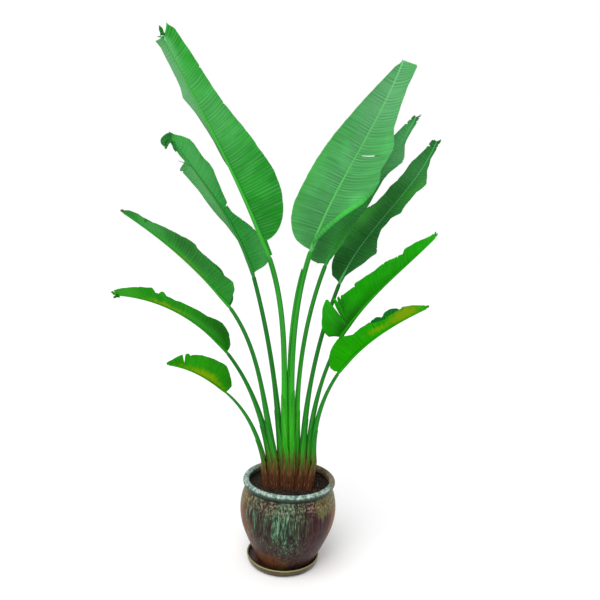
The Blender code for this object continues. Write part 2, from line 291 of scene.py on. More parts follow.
def close_seams(piece, reach=1e-6):
    """Merge the grid's edges where they meet, as where a tube closes, and turn all faces outwards."""
    select_only(piece)
    bpy.ops.object.mode_set(mode="EDIT")
    bpy.ops.mesh.select_all(action="SELECT")
    bpy.ops.mesh.remove_doubles(threshold=reach)
    bpy.ops.mesh.normals_make_consistent(inside=False)
    bpy.ops.object.mode_set(mode="OBJECT")
    bpy.ops.object.shade_smooth()


def thicken(piece, thickness, other_side=0):
    """Give a sheet its thickness, half to each side. other_side shifts the material of the side behind."""
    select_only(piece)
    solid = piece.modifiers.new("thickness", "SOLIDIFY")
    solid.thickness = thickness
    solid.offset = 0
    solid.material_offset = other_side
    bpy.ops.object.modifier_apply(modifier=solid.name)
    bpy.ops.object.shade_smooth()


def join(name, pieces):
    select_only(*pieces)
    if len(pieces) > 1:
        bpy.ops.object.join()
    piece = bpy.context.object
    piece.name = piece.data.name = name
    return piece


def settle(piece, slot, *nodes):
    """Apply the piece's place, set it on the plant's one body and let it stand for the CAD nodes."""
    select_only(piece)
    bpy.ops.object.transform_apply(location=True, rotation=True, scale=True)
    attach(piece, "root")
    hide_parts(*nodes)
    print(piece.name, len(piece.data.polygons), "faces")


def smooth_wave(rng, share, waves):
    """A smooth, uneven wave along a share from 0 to 1, between about -1 and 1."""
    total = 0
    for k in (1.0, 1.7, 2.9):
        total = total + np.sin(2 * pi * (waves * k * share + rng.random())) / k
    return total / 1.6


# %% [markdown]
# ## The rule of the fan
#
# The solids were made from one rule: a stalk leaves the crown at its foot, leans and bows outwards, and its
# blade goes on from its tip along a rib. Each half of the blade has its own width, its own angle about the
# rib, and its own waves and tears. The same rule is written again here. Stalks and ribs keep the solids'
# measures to a few millimetres, so the fine leaves lie where the solids are, and the halves get finer, more
# ragged margins. A lean is in degrees from upright, to the left below zero.

# %% Measures of the leaves
def half(width, base, full, power, tip, angle, sweep=(-0.12, 0.45), tears=(), ripple=(8, 3), **more):
    """One half of a blade: widest width in metres, then shares of the rib's length and angles about it."""
    usual = dict(start=0.0, crowd=1.0, point=0.0, heel=0.0, butt=0.006, fold=None, slits=(), outline=())
    return dict(usual, width=width, base=base, full=full, power=power, tip=tip, angle=angle, sweep=sweep,
                tears=tears, ripple=ripple, **more)


def ragged_half(outline, angle, sweep=(-0.12, 0.45), ripple=(8, 3), **more):
    """A half whose torn margin was measured: (share of the rib, width in millimetres)."""
    return half(0, 1, 0, 1, 1, angle, sweep, (), ripple, outline=outline, **more)


# A tear is (place, reach, depth) and a slit (place, depth, half width). An angle is given for both ends of
# the rib, or as (share of the rib, angle) points.
LEAVES = {
    "left_1": dict(
        foot=(-0.0110, -0.009), stalk=0.817, lean=(-7.5, -22), bow=11, depth=(-3, -3, 3), shift=-0.002,
        thick=(0.0088, 0.0115, 0.0085), blade=0.872, tip_lean=-29, blade_bow=-4, curl=-20, sheath=0.26,
        near=half(0.1385, 0.22, 0.32, 0.95, 0.33, (82, 95), (-0.12, 0.50),
                  ((0.66, 0.26, 0.12), (1.0, 0.04, 0.28)), (7, 3), start=0.065, point=0.60, butt=0.015,
                  slits=((0.79, 0.05, 0.004), (0.62, 0.03, 0.004))),
        far=ragged_half(
            ((0, 6), (0.03, 40), (0.08, 66), (0.14, 82), (0.235, 92), (0.36, 98), (0.71, 98), (0.745, 101),
             (0.762, 101), (0.78, 94), (0.84, 86), (0.90, 75), (0.97, 60), (1, 53)),
            ((0, 168), (0.13, 172), (0.24, 176), (0.36, 182), (0.46, 190), (0.60, 193), (0.67, 197),
             (0.715, 201), (0.758, 206), (0.80, 202), (0.84, 202), (0.90, 206), (0.97, 210), (1, 222)),
            (-0.12, 0.25), (2, 3))),
    "left_2": dict(
        foot=(-0.0333, 0.006), stalk=0.741, lean=(-6.5, -17.5), bow=1, depth=(2, 4, 8), shift=0.002,
        thick=(0.0088, 0.0100, 0.0070), blade=0.652, tip_lean=-37, blade_bow=-10, curl=-20, sheath=0.19,
        near=ragged_half(
            ((0, 4), (0.018, 8), (0.030, 52), (0.045, 80), (0.09, 110), (0.12, 113), (0.16, 104),
             (0.21, 90), (0.26, 72), (0.33, 48), (0.38, 33), (0.42, 31), (0.44, 38), (0.503, 47),
             (0.555, 59), (0.61, 73), (0.647, 77), (0.693, 72), (0.743, 74), (0.785, 79), (0.83, 72),
             (0.89, 50), (0.96, 20), (1, 8)),
            (62, 52), (-0.05, 0.45), (3, 3), slits=((0.432, 0.40, 0.004),)),
        far=ragged_half(
            ((0, 6), (0.02, 30), (0.05, 50), (0.13, 90), (0.215, 106), (0.30, 118), (0.40, 125),
             (0.51, 129), (0.64, 132), (0.763, 134), (0.785, 132), (0.793, 70), (0.802, 22), (0.85, 28),
             (0.90, 25), (0.96, 14), (1, 8)),
            ((0, 172), (0.05, 178), (0.13, 184), (0.215, 188), (0.30, 193), (0.40, 198.5), (0.51, 201),
             (0.64, 201.5), (0.763, 205.7), (0.79, 207), (0.805, 212.5), (1, 216)),
            (-0.12, 0.45), (2, 3), slits=((0.765, 0.16, 0.003),))),
    "left_3": dict(
        foot=(-0.0560, -0.006), stalk=0.649, lean=(-13.5, -39.5), bow=12.5, depth=(-3, -5, -7), shift=-0.006,
        thick=(0.0088, 0.0092, 0.0062), blade=0.524, tip_lean=-59, blade_bow=-1, curl=-25, sheath=0.16,
        near=ragged_half(
            ((0, 5), (0.02, 10), (0.05, 44), (0.092, 87), (0.133, 103), (0.188, 96), (0.278, 95),
             (0.35, 101), (0.39, 99), (0.415, 96), (0.425, 104), (0.44, 113), (0.47, 108), (0.50, 101),
             (0.54, 93), (0.575, 90), (0.657, 80), (0.735, 58), (0.785, 43), (0.803, 26), (0.808, 46),
             (0.848, 47), (0.88, 42), (0.92, 35), (1, 5)),
            (50, 40), ripple=(4, 3), slits=((0.803, 0.30, 0.004),)),
        far=half(0.086, 0.26, 0.46, 1.1, 0.12, (140, 140), slits=((0.62, 0.2, 0.004),))),
    "left_4": dict(
        foot=(-0.0785, 0.004), stalk=0.467, lean=(-10.5, -42.5), bow=2.5, depth=(3, 5, 6), shift=-0.002,
        thick=(0.0088, 0.0092, 0.0058), blade=0.525, tip_lean=-91.5, blade_bow=0, curl=-25, sheath=0.13,
        near=ragged_half(
            ((0, 6), (0.015, 12), (0.05, 56), (0.09, 95), (0.135, 106), (0.163, 110), (0.212, 95),
             (0.283, 76), (0.35, 77), (0.427, 70), (0.52, 53), (0.545, 55), (0.557, 60), (0.573, 81),
             (0.59, 78), (0.605, 68), (0.63, 42), (0.638, 58), (0.645, 81), (0.652, 83), (0.70, 72),
             (0.758, 62), (0.865, 47), (0.935, 33), (0.965, 26), (1, 16)),
            (50, 50), ripple=(4, 4)),
        far=half(0.068, 0.16, 0.12, 2.0, 0.24, (140, 140), tears=((0.45, 0.15, 0.30),), ripple=(6, 4))),
    "left_5": dict(
        foot=(-0.1020, -0.004), stalk=0.324, lean=(-16, -50), bow=5, depth=(-5, -8, -10), shift=0,
        thick=(0.0068, 0.0062, 0.0036), blade=0.250, tip_lean=-84.5, blade_bow=4.5, curl=-20, sheath=0.08,
        near=ragged_half(
            ((0, 18), (0.028, 43), (0.092, 65), (0.205, 96), (0.27, 114), (0.305, 117), (0.43, 113),
             (0.542, 102), (0.642, 85), (0.695, 83), (0.725, 72), (0.763, 66), (0.863, 40), (0.973, 8),
             (1, 4)),
            (62, 55), ripple=(3, 2), slits=((0.737, 0.62, 0.0036), (0.66, 0.08, 0.004))),
        far=half(0.082, 0.42, 0.43, 1.4, 0.10, (140, 140), tears=((0.74, 0.10, 0.75),), ripple=(6, 2))),
    "right_1": dict(
        foot=(0.0082, -0.009), stalk=0.842, lean=(-3.5, 16), bow=-6, depth=(-3, -3, 2), shift=0.001,
        thick=(0.0088, 0.0110, 0.0078), blade=0.751, tip_lean=17.5, blade_bow=9.5, curl=15, sheath=0.28,
        near=ragged_half(
            ((0, 6), (0.05, 27), (0.11, 53), (0.175, 88), (0.24, 132), (0.30, 146), (0.34, 134),
             (0.42, 113), (0.46, 114), (0.51, 115), (0.55, 109), (0.60, 89), (0.65, 74), (0.75, 61),
             (0.85, 53), (0.95, 56), (1, 50)),
            (-60, -70), (0.40, 0.60), (3, 3), crowd=1.8, point=-0.7, fold=(165, 0.24, 0.36)),
        far=half(0.125, 0.22, 0.28, 2.0, 0.05, (86, 70), (-0.12, 0.0), ((1.0, 0.05, 0.65),), (4, 2),
                 point=0.3)),
    "right_2": dict(
        foot=(0.0275, 0.007), stalk=0.792, lean=(-5.5, 19), bow=-2, depth=(2, 2, 5), shift=0.001,
        thick=(0.0086, 0.0092, 0.0068), blade=0.663, tip_lean=24.5, blade_bow=10.5, curl=15, sheath=0.19,
        near=ragged_half(
            ((0, 5), (0.05, 30), (0.12, 50), (0.2, 60), (0.385, 68), (0.44, 64), (0.503, 55), (0.56, 48),
             (0.61, 56), (0.64, 72), (0.67, 90), (0.70, 79), (0.758, 50), (0.80, 31), (0.838, 23),
             (0.897, 20), (0.943, 24), (1, 24)),
            (-20, -30), ripple=(4, 3), slits=((0.955, 0.35, 0.004),)),
        far=half(0.068, 0.030, 0.48, 1.7, 0.14, (100, 100), heel=0.30, butt=0.035,
                 slits=((0.93, 0.25, 0.004),))),
    "right_3": dict(
        foot=(0.0480, -0.006), stalk=0.728, lean=(-3, 20.5), bow=0.5, depth=(4, 7, 6), shift=0.005,
        thick=(0.0086, 0.0088, 0.0065), blade=0.685, tip_lean=20, blade_bow=17.5, curl=15, sheath=0.16,
        near=ragged_half(
            ((0, 4), (0.05, 16), (0.125, 50), (0.20, 88), (0.238, 102), (0.27, 85), (0.315, 56),
             (0.385, 33), (0.465, 40), (0.505, 66), (0.54, 56), (0.57, 51), (0.655, 55), (0.705, 73),
             (0.75, 54), (0.802, 31), (0.88, 13), (0.938, 17), (0.985, 22), (1, 18)),
            (-35, -35), ripple=(7, 4), slits=((0.95, 0.3, 0.004),)),
        far=ragged_half(
            ((0, 6), (0.03, 50), (0.08, 76), (0.15, 95), (0.24, 104), (0.38, 106), (0.435, 108),
             (0.487, 90), (0.542, 83), (0.593, 79), (0.69, 77), (0.755, 71), (0.815, 67), (0.865, 52),
             (0.907, 41), (0.97, 31), (1, 24)),
            (135, 140), ripple=(8, 4), slits=((0.95, 0.35, 0.004),))),
    "right_4": dict(
        foot=(0.0705, 0.006), stalk=0.516, lean=(-3, 27), bow=-0.5, depth=(1, 2, 3), shift=0.005,
        thick=(0.0078, 0.0080, 0.0062), blade=0.548, tip_lean=42, blade_bow=9, curl=-25, sheath=0.13,
        near=ragged_half(
            ((0, 40), (0.005, 68), (0.01, 87), (0.02, 109), (0.03, 126), (0.04, 138), (0.05, 148),
             (0.072, 156), (0.085, 146), (0.113, 132), (0.138, 133), (0.158, 127), (0.198, 113),
             (0.217, 111), (0.26, 105), (0.272, 112), (0.307, 110), (0.38, 101), (0.487, 94), (0.568, 82),
             (0.608, 76), (0.65, 68), (0.672, 61), (0.68, 79), (0.765, 67), (0.868, 46), (0.978, 20),
             (1, 10)),
            (62, 45), (0.35, 0.45), (4, 4), heel=0.37,
            slits=((0.095, 0.72, 0.0065), (0.127, 0.58, 0.0024), (0.149, 0.44, 0.0024),
                   (0.265, 0.08, 0.003), (0.622, 0.14, 0.003), (0.675, 0.10, 0.002))),
        far=half(0.098, 0.15, 0.13, 1.0, 0.20, (140, 140), tears=((0.12, 0.09, 0.6),), ripple=(8, 4),
                 slits=((0.40, 0.2, 0.004),))),
    "right_5": dict(
        foot=(0.0910, 0.000), stalk=0.384, lean=(-7, 32.5), bow=-0.5, depth=(-1, -2, -4), shift=0.003,
        thick=(0.0078, 0.0075, 0.0058), blade=0.430, tip_lean=61.5, blade_bow=4.5, curl=-25, sheath=0.12,
        near=ragged_half(
            ((0, 20), (0.015, 36), (0.048, 58), (0.075, 75), (0.103, 89), (0.165, 107), (0.24, 117),
             (0.285, 112), (0.338, 91), (0.413, 93), (0.48, 90), (0.497, 76), (0.585, 58), (0.645, 65),
             (0.70, 72), (0.755, 74), (0.835, 55), (0.93, 27), (1, 9)),
            (60, 45), (-0.25, 0.45), (4, 3), heel=0.20,
            slits=((0.74, 0.14, 0.004), (0.60, 0.06, 0.003))),
        far=ragged_half(
            ((0, 8), (0.1, 48), (0.3, 58), (0.42, 62), (0.46, 70), (0.49, 81), (0.535, 81), (0.575, 66),
             (0.60, 78), (0.655, 78), (0.71, 66), (0.735, 50), (0.76, 59), (0.85, 43), (1, 8)),
            (140, 140), ripple=(4, 3))),
}
print("leaves:", len(LEAVES))

# %% The curve of a stalk and of a rib
CROWN_TOP = 0.410
STALK_GAP = 0.0003           # a stalk starts this far over the crown's solid
BLADE_GAP = 0.0006           # and a blade this far past the end of its stalk


def path(start, length, leans, bow, depths, count):
    """Points and directions along a limb whose lean runs from leans[0] to leans[1], bowed between them."""
    s = np.linspace(0, 1, count)
    lean = np.radians(lerp(leans, s) + 4 * bow * s * (1 - s))
    away = np.radians(lerp(depths, s))
    ways = np.stack([np.sin(lean) * np.cos(away), np.sin(away), np.cos(lean) * np.cos(away)], 1)
    steps = (ways[1:] + ways[:-1]) * (0.5 * length / (count - 1))
    points = np.array(start) + np.vstack([np.zeros(3), np.cumsum(steps, 0)])
    return points, ways


def stalk_path(leaf, count):
    foot_x, foot_y = leaf["foot"]
    start = (foot_x, foot_y, CROWN_TOP + STALK_GAP)
    points, ways = path(start, leaf["stalk"], leaf["lean"], leaf["bow"], leaf["depth"][:2], count)
    points[:, 0] += leaf["shift"] * np.sin(pi * np.linspace(0, 1, count))
    return points, ways


def rib_path(leaf, count, reach=1.0):
    """The rib from the stalk's tip on, over a share of its length."""
    points, ways = stalk_path(leaf, 121)
    start = points[-1] + ways[-1] * BLADE_GAP
    leans = (leaf["lean"][1], leaf["tip_lean"])
    fine = 8 * (count - 1) + 1
    points, ways = path(start, leaf["blade"], leans, leaf["blade_bow"], leaf["depth"][1:], fine)
    pick = np.rint(np.linspace(0, (fine - 1) * reach, count)).astype(int)
    return points[pick], ways[pick]


def spread_angle(angle, t):
    """The angle of a half about its rib at share t."""
    if np.ndim(angle[0]) == 0:
        return lerp(angle, t)
    return np.interp(t, *np.array(angle).T)


def opening_angle(leaf, t):
    """The angle about the rib that lies midway between the two halves."""
    return np.radians((spread_angle(leaf["near"]["angle"], t) + spread_angle(leaf["far"]["angle"], t)) / 2)


def axes_along(leaf, ways):
    """For each direction: the way square to it towards the viewer, and the way to the inside of the fan."""
    side = 1 if leaf["foot"][0] > 0 else -1
    near = np.array([0, -1.0, 0]) + ways * ways[:, 1:2]
    near /= np.linalg.norm(near, axis=1)[:, None]
    return near, np.cross(near, ways) * side


def swing(first, second, turn):
    """The ways that lie at an angle from the first axis towards the second."""
    return first * np.cos(turn)[:, None] + second * np.sin(turn)[:, None]


print("longest stalk:", max(leaf["stalk"] for leaf in LEAVES.values()), "m")

# %% [markdown]
# ## Leaf finishes
#
# A leaf of this plant is thick and waxy. Fine nerves run from the rib to the margin about a centimetre apart,
# the rib is paler, a grey wax bloom with a painted pale sheen lies on the high leaves, and old leaves dry to
# yellow and brown from the edge. The hollows between the nerves get painted shade. The nerves follow the UV
# map. Bloom and sheen, yellow and dry places, painted shade and a yellower green with painted light are
# numbers on the vertices, broken up by noise, so the patches have soft, uneven edges. Each leaf has its own
# green: the lower ones are fresher, and the ones behind are painted darker for the shade they lie in.

# %% Leaf finishes
NERVE_PITCH = 0.0112
LOW_LEAVES = ("left_4", "left_5", "right_4", "right_5")
LOW_SPECULAR = 0.02          # the low leaves are young and soft, with little wax
HIGH_SPECULAR = 0.08
LOW_CONTRAST = 0.55          # and their nerves stand out less
# How much painted shade lies in the hollows between the nerves, for each leaf named here.
HOLLOW_SHADE = {"left_1": 0.28, "right_1": 0.50, "right_2": 0.25, "right_3": 0.35}
FAINT_HOLLOW_SHADE = 0.15         # how much painted shade lies in the hollows between the nerves, here on the leaves not named above
DRY_YELLOW = (134, 178, 0)
DRY_OCHRE = (158, 146, 14)
DRY_BROWN = (96, 60, 30)
DRY_TAN = (150, 108, 60)


def leaf_finish(name, main, bloom_and_sheen, specular, contrast, hollow_shade):
    """Green with nerves: painted shade in the hollows between them, and paler on them and towards the rib."""
    f = Finish(name, 0.56, specular)
    uv = f.surface()
    across, along, _ = f.add("SeparateXYZ", {0: uv}).outputs
    drift = f.noise(f.add("CombineXYZ", {1: along}).outputs[0], 24, 2)
    turns = f.scaled(along, 2 * pi / NERVE_PITCH, f.times(drift, 9.0))
    band = f.scaled(f.maths("SINE", turns), 0.5, 0.5)
    strength = f.noise(uv, 1.0, 2, 0.5, (9, 26, 1))
    band = f.times(band, f.span(strength, 0.36, 0.64, 0.15, 1.0))
    streak = f.noise(uv, 1.0, 4, 0.65, (5, 110, 1))
    fine = f.noise(uv, 1.0, 2, 0.5, (4, 620, 1))
    blotch = f.noise(f.place(), 8, 3)
    colour = f.fade(streak, 0.32, 0.70, tone(main, 1 - 0.12 * contrast), tone(main, 1.09))
    colour = f.fade(blotch, 0.44, 0.70, colour, tone(main, 1.28), 0.45)
    # Painted shade: the deep patches darken the green where the blade lies in shade.
    colour = f.mix(f.times(f.tagged("deep"), 0.8), colour, tone(main, 0.58))
    # The fresh patches are a yellower green, partly the leaf's own and partly painted light where the blade
    # turns towards the light.
    colour = f.mix(f.times(f.tagged("fresh"), 0.9), colour, (66, 176, 52))
    # The bloom patches lay a pale waxy grey over the green, together with a painted sheen.
    wax_and_sheen = f.scaled(streak, 0.5, f.scaled(blotch, 0.4, -0.45))
    wax_and_sheen = f.times(f.tagged("bloom_and_sheen"), f.plus(0.75, wax_and_sheen))
    colour = f.fade(wax_and_sheen, 0.0, 1.0, colour, bloom_and_sheen)
    colour = f.mix(f.times(band, 0.28 * contrast), colour, tone(bloom_and_sheen, 1.04))
    colour = f.mix(f.times(fine, 0.20 * contrast), colour, tone(main, 0.6))
    # Painted shade: the hollows between the nerves are darkened, most near the rib and less towards the
    # margin.
    out = f.maths("ABSOLUTE", across)
    painted_hollow_shade = f.times(f.maths("SUBTRACT", 1.0, band), f.span(out, 0.012, 0.085, hollow_shade, 0.05))
    painted_hollow_shade = f.times(painted_hollow_shade, f.span(strength, 0.36, 0.62, 0.3, 1.0))
    colour = f.mix(painted_hollow_shade, colour, tone(main, 0.55))
    colour = f.mix(f.span(out, 0.0012, 0.0034, 0.75, 0.0), colour, tone(bloom_and_sheen, 1.2))
    grain = f.noise(uv, 1.0, 4, 0.6, (30, 70, 1))
    patch = f.scaled(grain, 1.5, -0.75)
    yellow = f.span(f.plus(f.tagged("yellow"), f.times(patch, 0.7)), 0.18, 0.95)
    colour = f.mix(yellow, colour, f.fade(grain, 0.48, 0.62, DRY_YELLOW, DRY_OCHRE, 0.4))
    dry = f.span(f.plus(f.tagged("dry"), patch), 0.35, 0.65)
    colour = f.mix(dry, colour, f.fade(streak, 0.4, 0.6, DRY_BROWN, DRY_TAN))
    rough = f.scaled(dry, 0.35, f.scaled(streak, 0.12, 0.50))
    return f.done(colour, band, 0.2, 0.0003, rough)


def rib_finish(name, main, specular):
    """The waxy rib, with fine lines along it."""
    f = Finish(name, 0.45, specular)
    lines = f.noise(f.surface(), 1.0, 3, 0.6, (420, 9, 1))
    return f.done(f.mix(lines, tone(main, 0.8), tone(main, 1.2)), lines, 0.3, 0.0004)


# For each leaf: the green of the side that shows, its wax bloom with a painted pale sheen, the green of the
# other side and of the rib.
GREENS = {
    "left_1": ((25, 156, 27), (112, 197, 124), (36, 140, 40), (56, 174, 50)),
    "left_2": ((43, 159, 54), (90, 192, 103), (40, 140, 50), (44, 146, 50)),
    "left_3": ((40, 152, 42), (68, 172, 72), (30, 134, 32), (52, 162, 42)),
    "left_4": ((36, 156, 20), (60, 178, 36), (30, 146, 26), (44, 152, 26)),
    "left_5": ((35, 148, 7), (64, 180, 20), (26, 136, 20), (56, 152, 10)),
    "right_1": ((76, 173, 89), (112, 193, 128), (62, 178, 66), (88, 188, 90)),
    "right_2": ((69, 172, 83), (106, 193, 124), (38, 136, 44), (54, 164, 60)),
    # right_3 lies behind the others, so its greens are painted darker for the shade it lies in.
    "right_3": ((39, 129, 47), (76, 166, 90), (38, 124, 48), (76, 176, 88)),
    "right_4": ((32, 180, 8), (70, 188, 60), (30, 156, 12), (40, 164, 20)),
    "right_5": ((30, 173, 0), (68, 190, 6), (14, 112, 34), (38, 162, 12)),
}
print("leaf greens:", len(GREENS))

# %% [markdown]
# ## Blades
#
# A blade is one grid: its middle column is the rib, and each half turns away from it. The angle of every
# small step across a half is worked out first, from the half's own angle, its curl, a fold at the margin and
# some ripple. Adding the steps up gives a sheet that bends without stretching. Slits run in along the nerves,
# because such leaves tear between them in the wind. A rod behind the sheet is the rib, and it starts inside
# the stalk, so that stalk and rib are one line.

# %% Patches of the leaves
# (kind, place along, place across, reach along, reach across, amount). Across, the far half is below zero.
# The bloom kind is wax bloom with a painted pale sheen, fresh a yellower green with painted light, deep is
# painted shade, and yellow and dry are the leaf's own yellowing and drying.
PATCHES = {
    "left_1": (
        ("bloom_and_sheen", 0.80, -0.7, 0.26, 0.6, 1.2), ("bloom_and_sheen", 0.86, -0.75, 0.11, 0.45, 1.2),
        ("bloom_and_sheen", 0.96, 0.1, 0.11, 0.3, 0.7), ("bloom_and_sheen", 0.60, 0.5, 0.26, 0.8, 0.50),
        ("deep", 0.16, 0.6, 0.20, 0.9, 0.55)),
    "left_2": (
        ("bloom_and_sheen", 0.60, -0.6, 0.30, 0.7, 0.9), ("bloom_and_sheen", 0.75, 0.5, 0.26, 0.7, 0.8),
        ("bloom_and_sheen", 0.12, 0.8, 0.14, 0.5, 0.85), ("deep", 0.12, 0.2, 0.16, 0.5, 0.20),
        ("deep", 1.0, 0.5, 0.03, 2.0, 1.0)),
    "left_3": (
        ("fresh", 0.62, 0.04, 0.32, 0.13, 1.0), ("bloom_and_sheen", 0.72, 0.60, 0.10, 0.5, 0.8),
        ("deep", 0.46, 0.62, 0.26, 0.42, 0.80), ("bloom_and_sheen", 0.36, 0.70, 0.12, 0.4, 0.3),
        ("deep", 0.96, 0.4, 0.12, 1.2, 0.45), ("bloom_and_sheen", 0.80, 0.5, 0.08, 0.8, 0.9),
        ("yellow", 0.40, 0.04, 0.20, 0.06, 0.6), ("dry", 1.0, 0.2, 0.028, 1.2, 1.3)),
    "left_4": (
        ("yellow", 0.58, 0.08, 0.22, 0.26, 0.64), ("fresh", 0.32, 0.05, 0.22, 0.32, 0.9),
        ("bloom_and_sheen", 0.88, 0.5, 0.12, 1.0, 1.3), ("deep", 0.12, 0.6, 0.20, 0.7, 1.0),
        ("dry", 1.0, 0.5, 0.012, 0.8, 0.8)),
    "left_5": (
        ("yellow", 0.40, 0.10, 0.44, 0.28, 0.72), ("yellow", 0.85, 0.3, 0.16, 0.5, 0.10),
        ("deep", 0.10, 0.9, 0.16, 0.5, 0.7), ("deep", 0.86, 0.3, 0.14, 0.8, 0.3),
        ("dry", 1.0, 0.3, 0.02, 0.5, 0.6)),
    "right_1": (
        ("bloom_and_sheen", 0.85, -0.4, 0.22, 0.8, 0.9), ("bloom_and_sheen", 0.80, 0.5, 0.20, 0.8, 0.5),
        ("deep", 0.10, -0.35, 0.20, 0.5, 0.4), ("bloom_and_sheen", 0.45, -0.2, 0.30, 0.25, 0.5),
        ("fresh", 0.30, -1.0, 0.30, 0.22, 0.6)),
    "right_2": (
        ("bloom_and_sheen", 0.75, 0.3, 0.20, 1.5, 1.0), ("deep", 0.06, -0.6, 0.16, 0.8, 0.7),
        ("fresh", 0.15, 0.5, 0.13, 0.9, 0.9), ("deep", 0.99, 0.3, 0.03, 2.0, 1.2)),
    "right_3": (
        ("fresh", 0.40, -0.80, 0.10, 0.30, 0.8), ("fresh", 0.62, 0.45, 0.10, 0.45, 0.7),
        ("bloom_and_sheen", 0.82, 0.5, 0.14, 0.7, 0.7), ("bloom_and_sheen", 0.78, -0.5, 0.14, 0.7, 0.6),
        ("fresh", 0.72, 0.80, 0.08, 0.40, 0.7), ("deep", 0.04, 0.0, 0.14, 2.0, 0.6),
        ("deep", 0.98, -0.4, 0.02, 2.0, 0.8)),
    "right_4": (
        ("deep", 0.10, 0.10, 0.14, 0.20, 0.8), ("deep", 0.36, 0.08, 0.34, 0.26, 0.6),
        ("bloom_and_sheen", 0.10, 0.5, 0.16, 0.7, 0.45)),
    "right_5": (
        ("yellow", 0.50, 0.40, 0.12, 0.24, 0.6), ("yellow", 0.78, 0.50, 0.17, 0.7, 0.9),
        ("dry", 1.0, 0.5, 0.02, 0.9, 0.9), ("dry", 0.01, 0.8, 0.012, 0.25, 0.7)),
}
PATCH_KINDS = ("bloom_and_sheen", "fresh", "deep", "yellow", "dry")


def patch_values(patches, kind, t, v):
    """How much of one kind of patch lies at each vertex, from its shares along and across."""
    total = np.zeros(len(t))
    for name, place, across, reach_along, reach_across, amount in patches:
        if name == kind:
            total += amount * np.exp(-((t - place) / reach_along) ** 2 - ((v - across) / reach_across) ** 2)
    return total


print("patches:", sum(len(patches) for patches in PATCHES.values()))

# %% Blade shape
HALF_COLUMNS = 22
ROW_STEP = 0.0015
BLADE_THICKNESS = 0.0008
PLEAT = 0.00012              # height of the folds along the nerves
FLAP = 0.010                 # a folded margin: the part that lies back over the leaf, and the bend itself
FOLD_BEND = 0.010
FOOT_SHARE = 0.15            # a half's least width at its foot holds for this share of the rib
SWEEP_START = 0.03           # the nerves sweep forward, in full from this share of the rib on
NERVE_BEND = 1.5
HEEL_END = 0.06              # the foot's lobe that hangs back over the stalk ends at this share
POINT_START = 0.92           # and the drawn-out tip starts at this one
MARGIN_WAVES, MARGIN_SWELL = 14, 0.006     # every margin is a little uneven, by this share of the width
FOLD_START = 0.05            # a folded margin turns over from the foot on, in full from this share
HANG = 8                     # degrees by which the strip beyond a slit may hang differently
ROUNDING = (-0.006, -0.003, 0, 0.003, 0.006)   # a torn margin is the mean of these shifts along the rib


def half_width(half, t):
    """Width of one half of a blade at share t of its rib."""
    if half["outline"]:
        outline = np.array(half["outline"]).T
        return sum(np.interp(t + off, *outline) for off in ROUNDING) / (1000 * len(ROUNDING))
    u = np.clip((t - half["start"]) / half["base"], 0, 1)
    k = np.clip((t - half["full"]) / (1 - half["full"]), 0, None)
    narrowing = 1 - (1 - half["tip"]) * k ** half["power"]
    width = half["width"] * np.sqrt(1 - (1 - u) ** 2) * narrowing
    for place, reach, deep in half["tears"]:
        dip = deep * np.cos(0.5 * pi * (t - place) / reach) ** 2
        width = np.where(np.abs(t - place) < reach, width * (1 - dip), width)
    return np.maximum(width, np.where(t < FOOT_SHARE, half["butt"], 0.004))


def slit_width(width, t, slits, length, rng):
    """Cut V-shaped slits into a half. Beyond each one the strip hangs a little differently."""
    hang = np.zeros(len(t))
    for place, depth, reach in sorted(slits):
        off = np.abs(t - place) / (reach / length)
        width = width * (1 - depth * np.clip(1 - off, 0, 1) ** 0.6)
        hang = hang + np.where(t > place, rng.uniform(-HANG, HANG) * depth, 0)
    return width, hang


def half_sheet(leaf, which, t, points, ways, nicks, rng):
    """Points of one half, rows by columns from the rib outwards, with the distance across."""
    half = leaf[which]
    near, inward = axes_along(leaf, ways)
    width = half_width(half, t) * (1 + MARGIN_SWELL * smooth_wave(rng, t, MARGIN_WAVES))
    width, hang = slit_width(width, t, list(half["slits"]) + nicks, leaf["blade"], rng)
    r = 1 - (1 - np.linspace(0, 1, HALF_COLUMNS + 1)) ** half["crowd"]
    step = np.diff(r)
    middle = (r[1:] + r[:-1]) / 2
    curl = leaf["curl"] if which == "near" else -leaf["curl"]
    amount, waves = half["ripple"]
    ripple = amount * smooth_wave(rng, t, waves) * 1.5
    turn = spread_angle(half["angle"], t) - curl / 2
    wide = width[:, None]

    def angle(share):
        bent = np.outer(ripple + hang, share * share)
        if half["fold"]:
            most, full_end, end = half["fold"]
            amount = most * np.clip((end - t) / (end - full_end), 0, 1) * np.clip(t / FOLD_START, 0, 1)
            folded = np.clip((share * wide - wide + FLAP + FOLD_BEND) / FOLD_BEND, 0, 1)
            bent = bent + amount[:, None] * folded
        return np.radians(turn[:, None] + curl * share + bent)

    steps = angle(middle)
    start = np.zeros((len(t), 1))
    towards = np.hstack([start, np.cumsum(np.cos(steps) * step, 1)])
    inwards = np.hstack([start, np.cumsum(np.sin(steps) * step, 1)])
    end = np.clip((t - POINT_START) / (1 - POINT_START), 0, 1)
    sweep = lerp(half["sweep"], t) * np.clip(t / SWEEP_START, 0, 1) + half["point"] * end ** 2
    sweep = sweep - half["heel"] * np.clip(1 - t / HEEL_END, 0, 1)
    forward = np.outer(sweep, r ** NERVE_BEND)
    pleat = PLEAT * np.outer(np.sin(2 * pi * t * leaf["blade"] / NERVE_PITCH), np.sin(pi * r ** 0.6))
    at = angle(r)
    sheet = (points[:, None] + near[:, None] * (towards * wide - np.sin(at) * pleat)[..., None]
             + inward[:, None] * (inwards * wide + np.cos(at) * pleat)[..., None]
             + ways[:, None] * (forward * wide)[..., None])
    return sheet, wide * r


print("grid of a half:", HALF_COLUMNS, "columns, a row each", ROW_STEP * 1000, "mm")

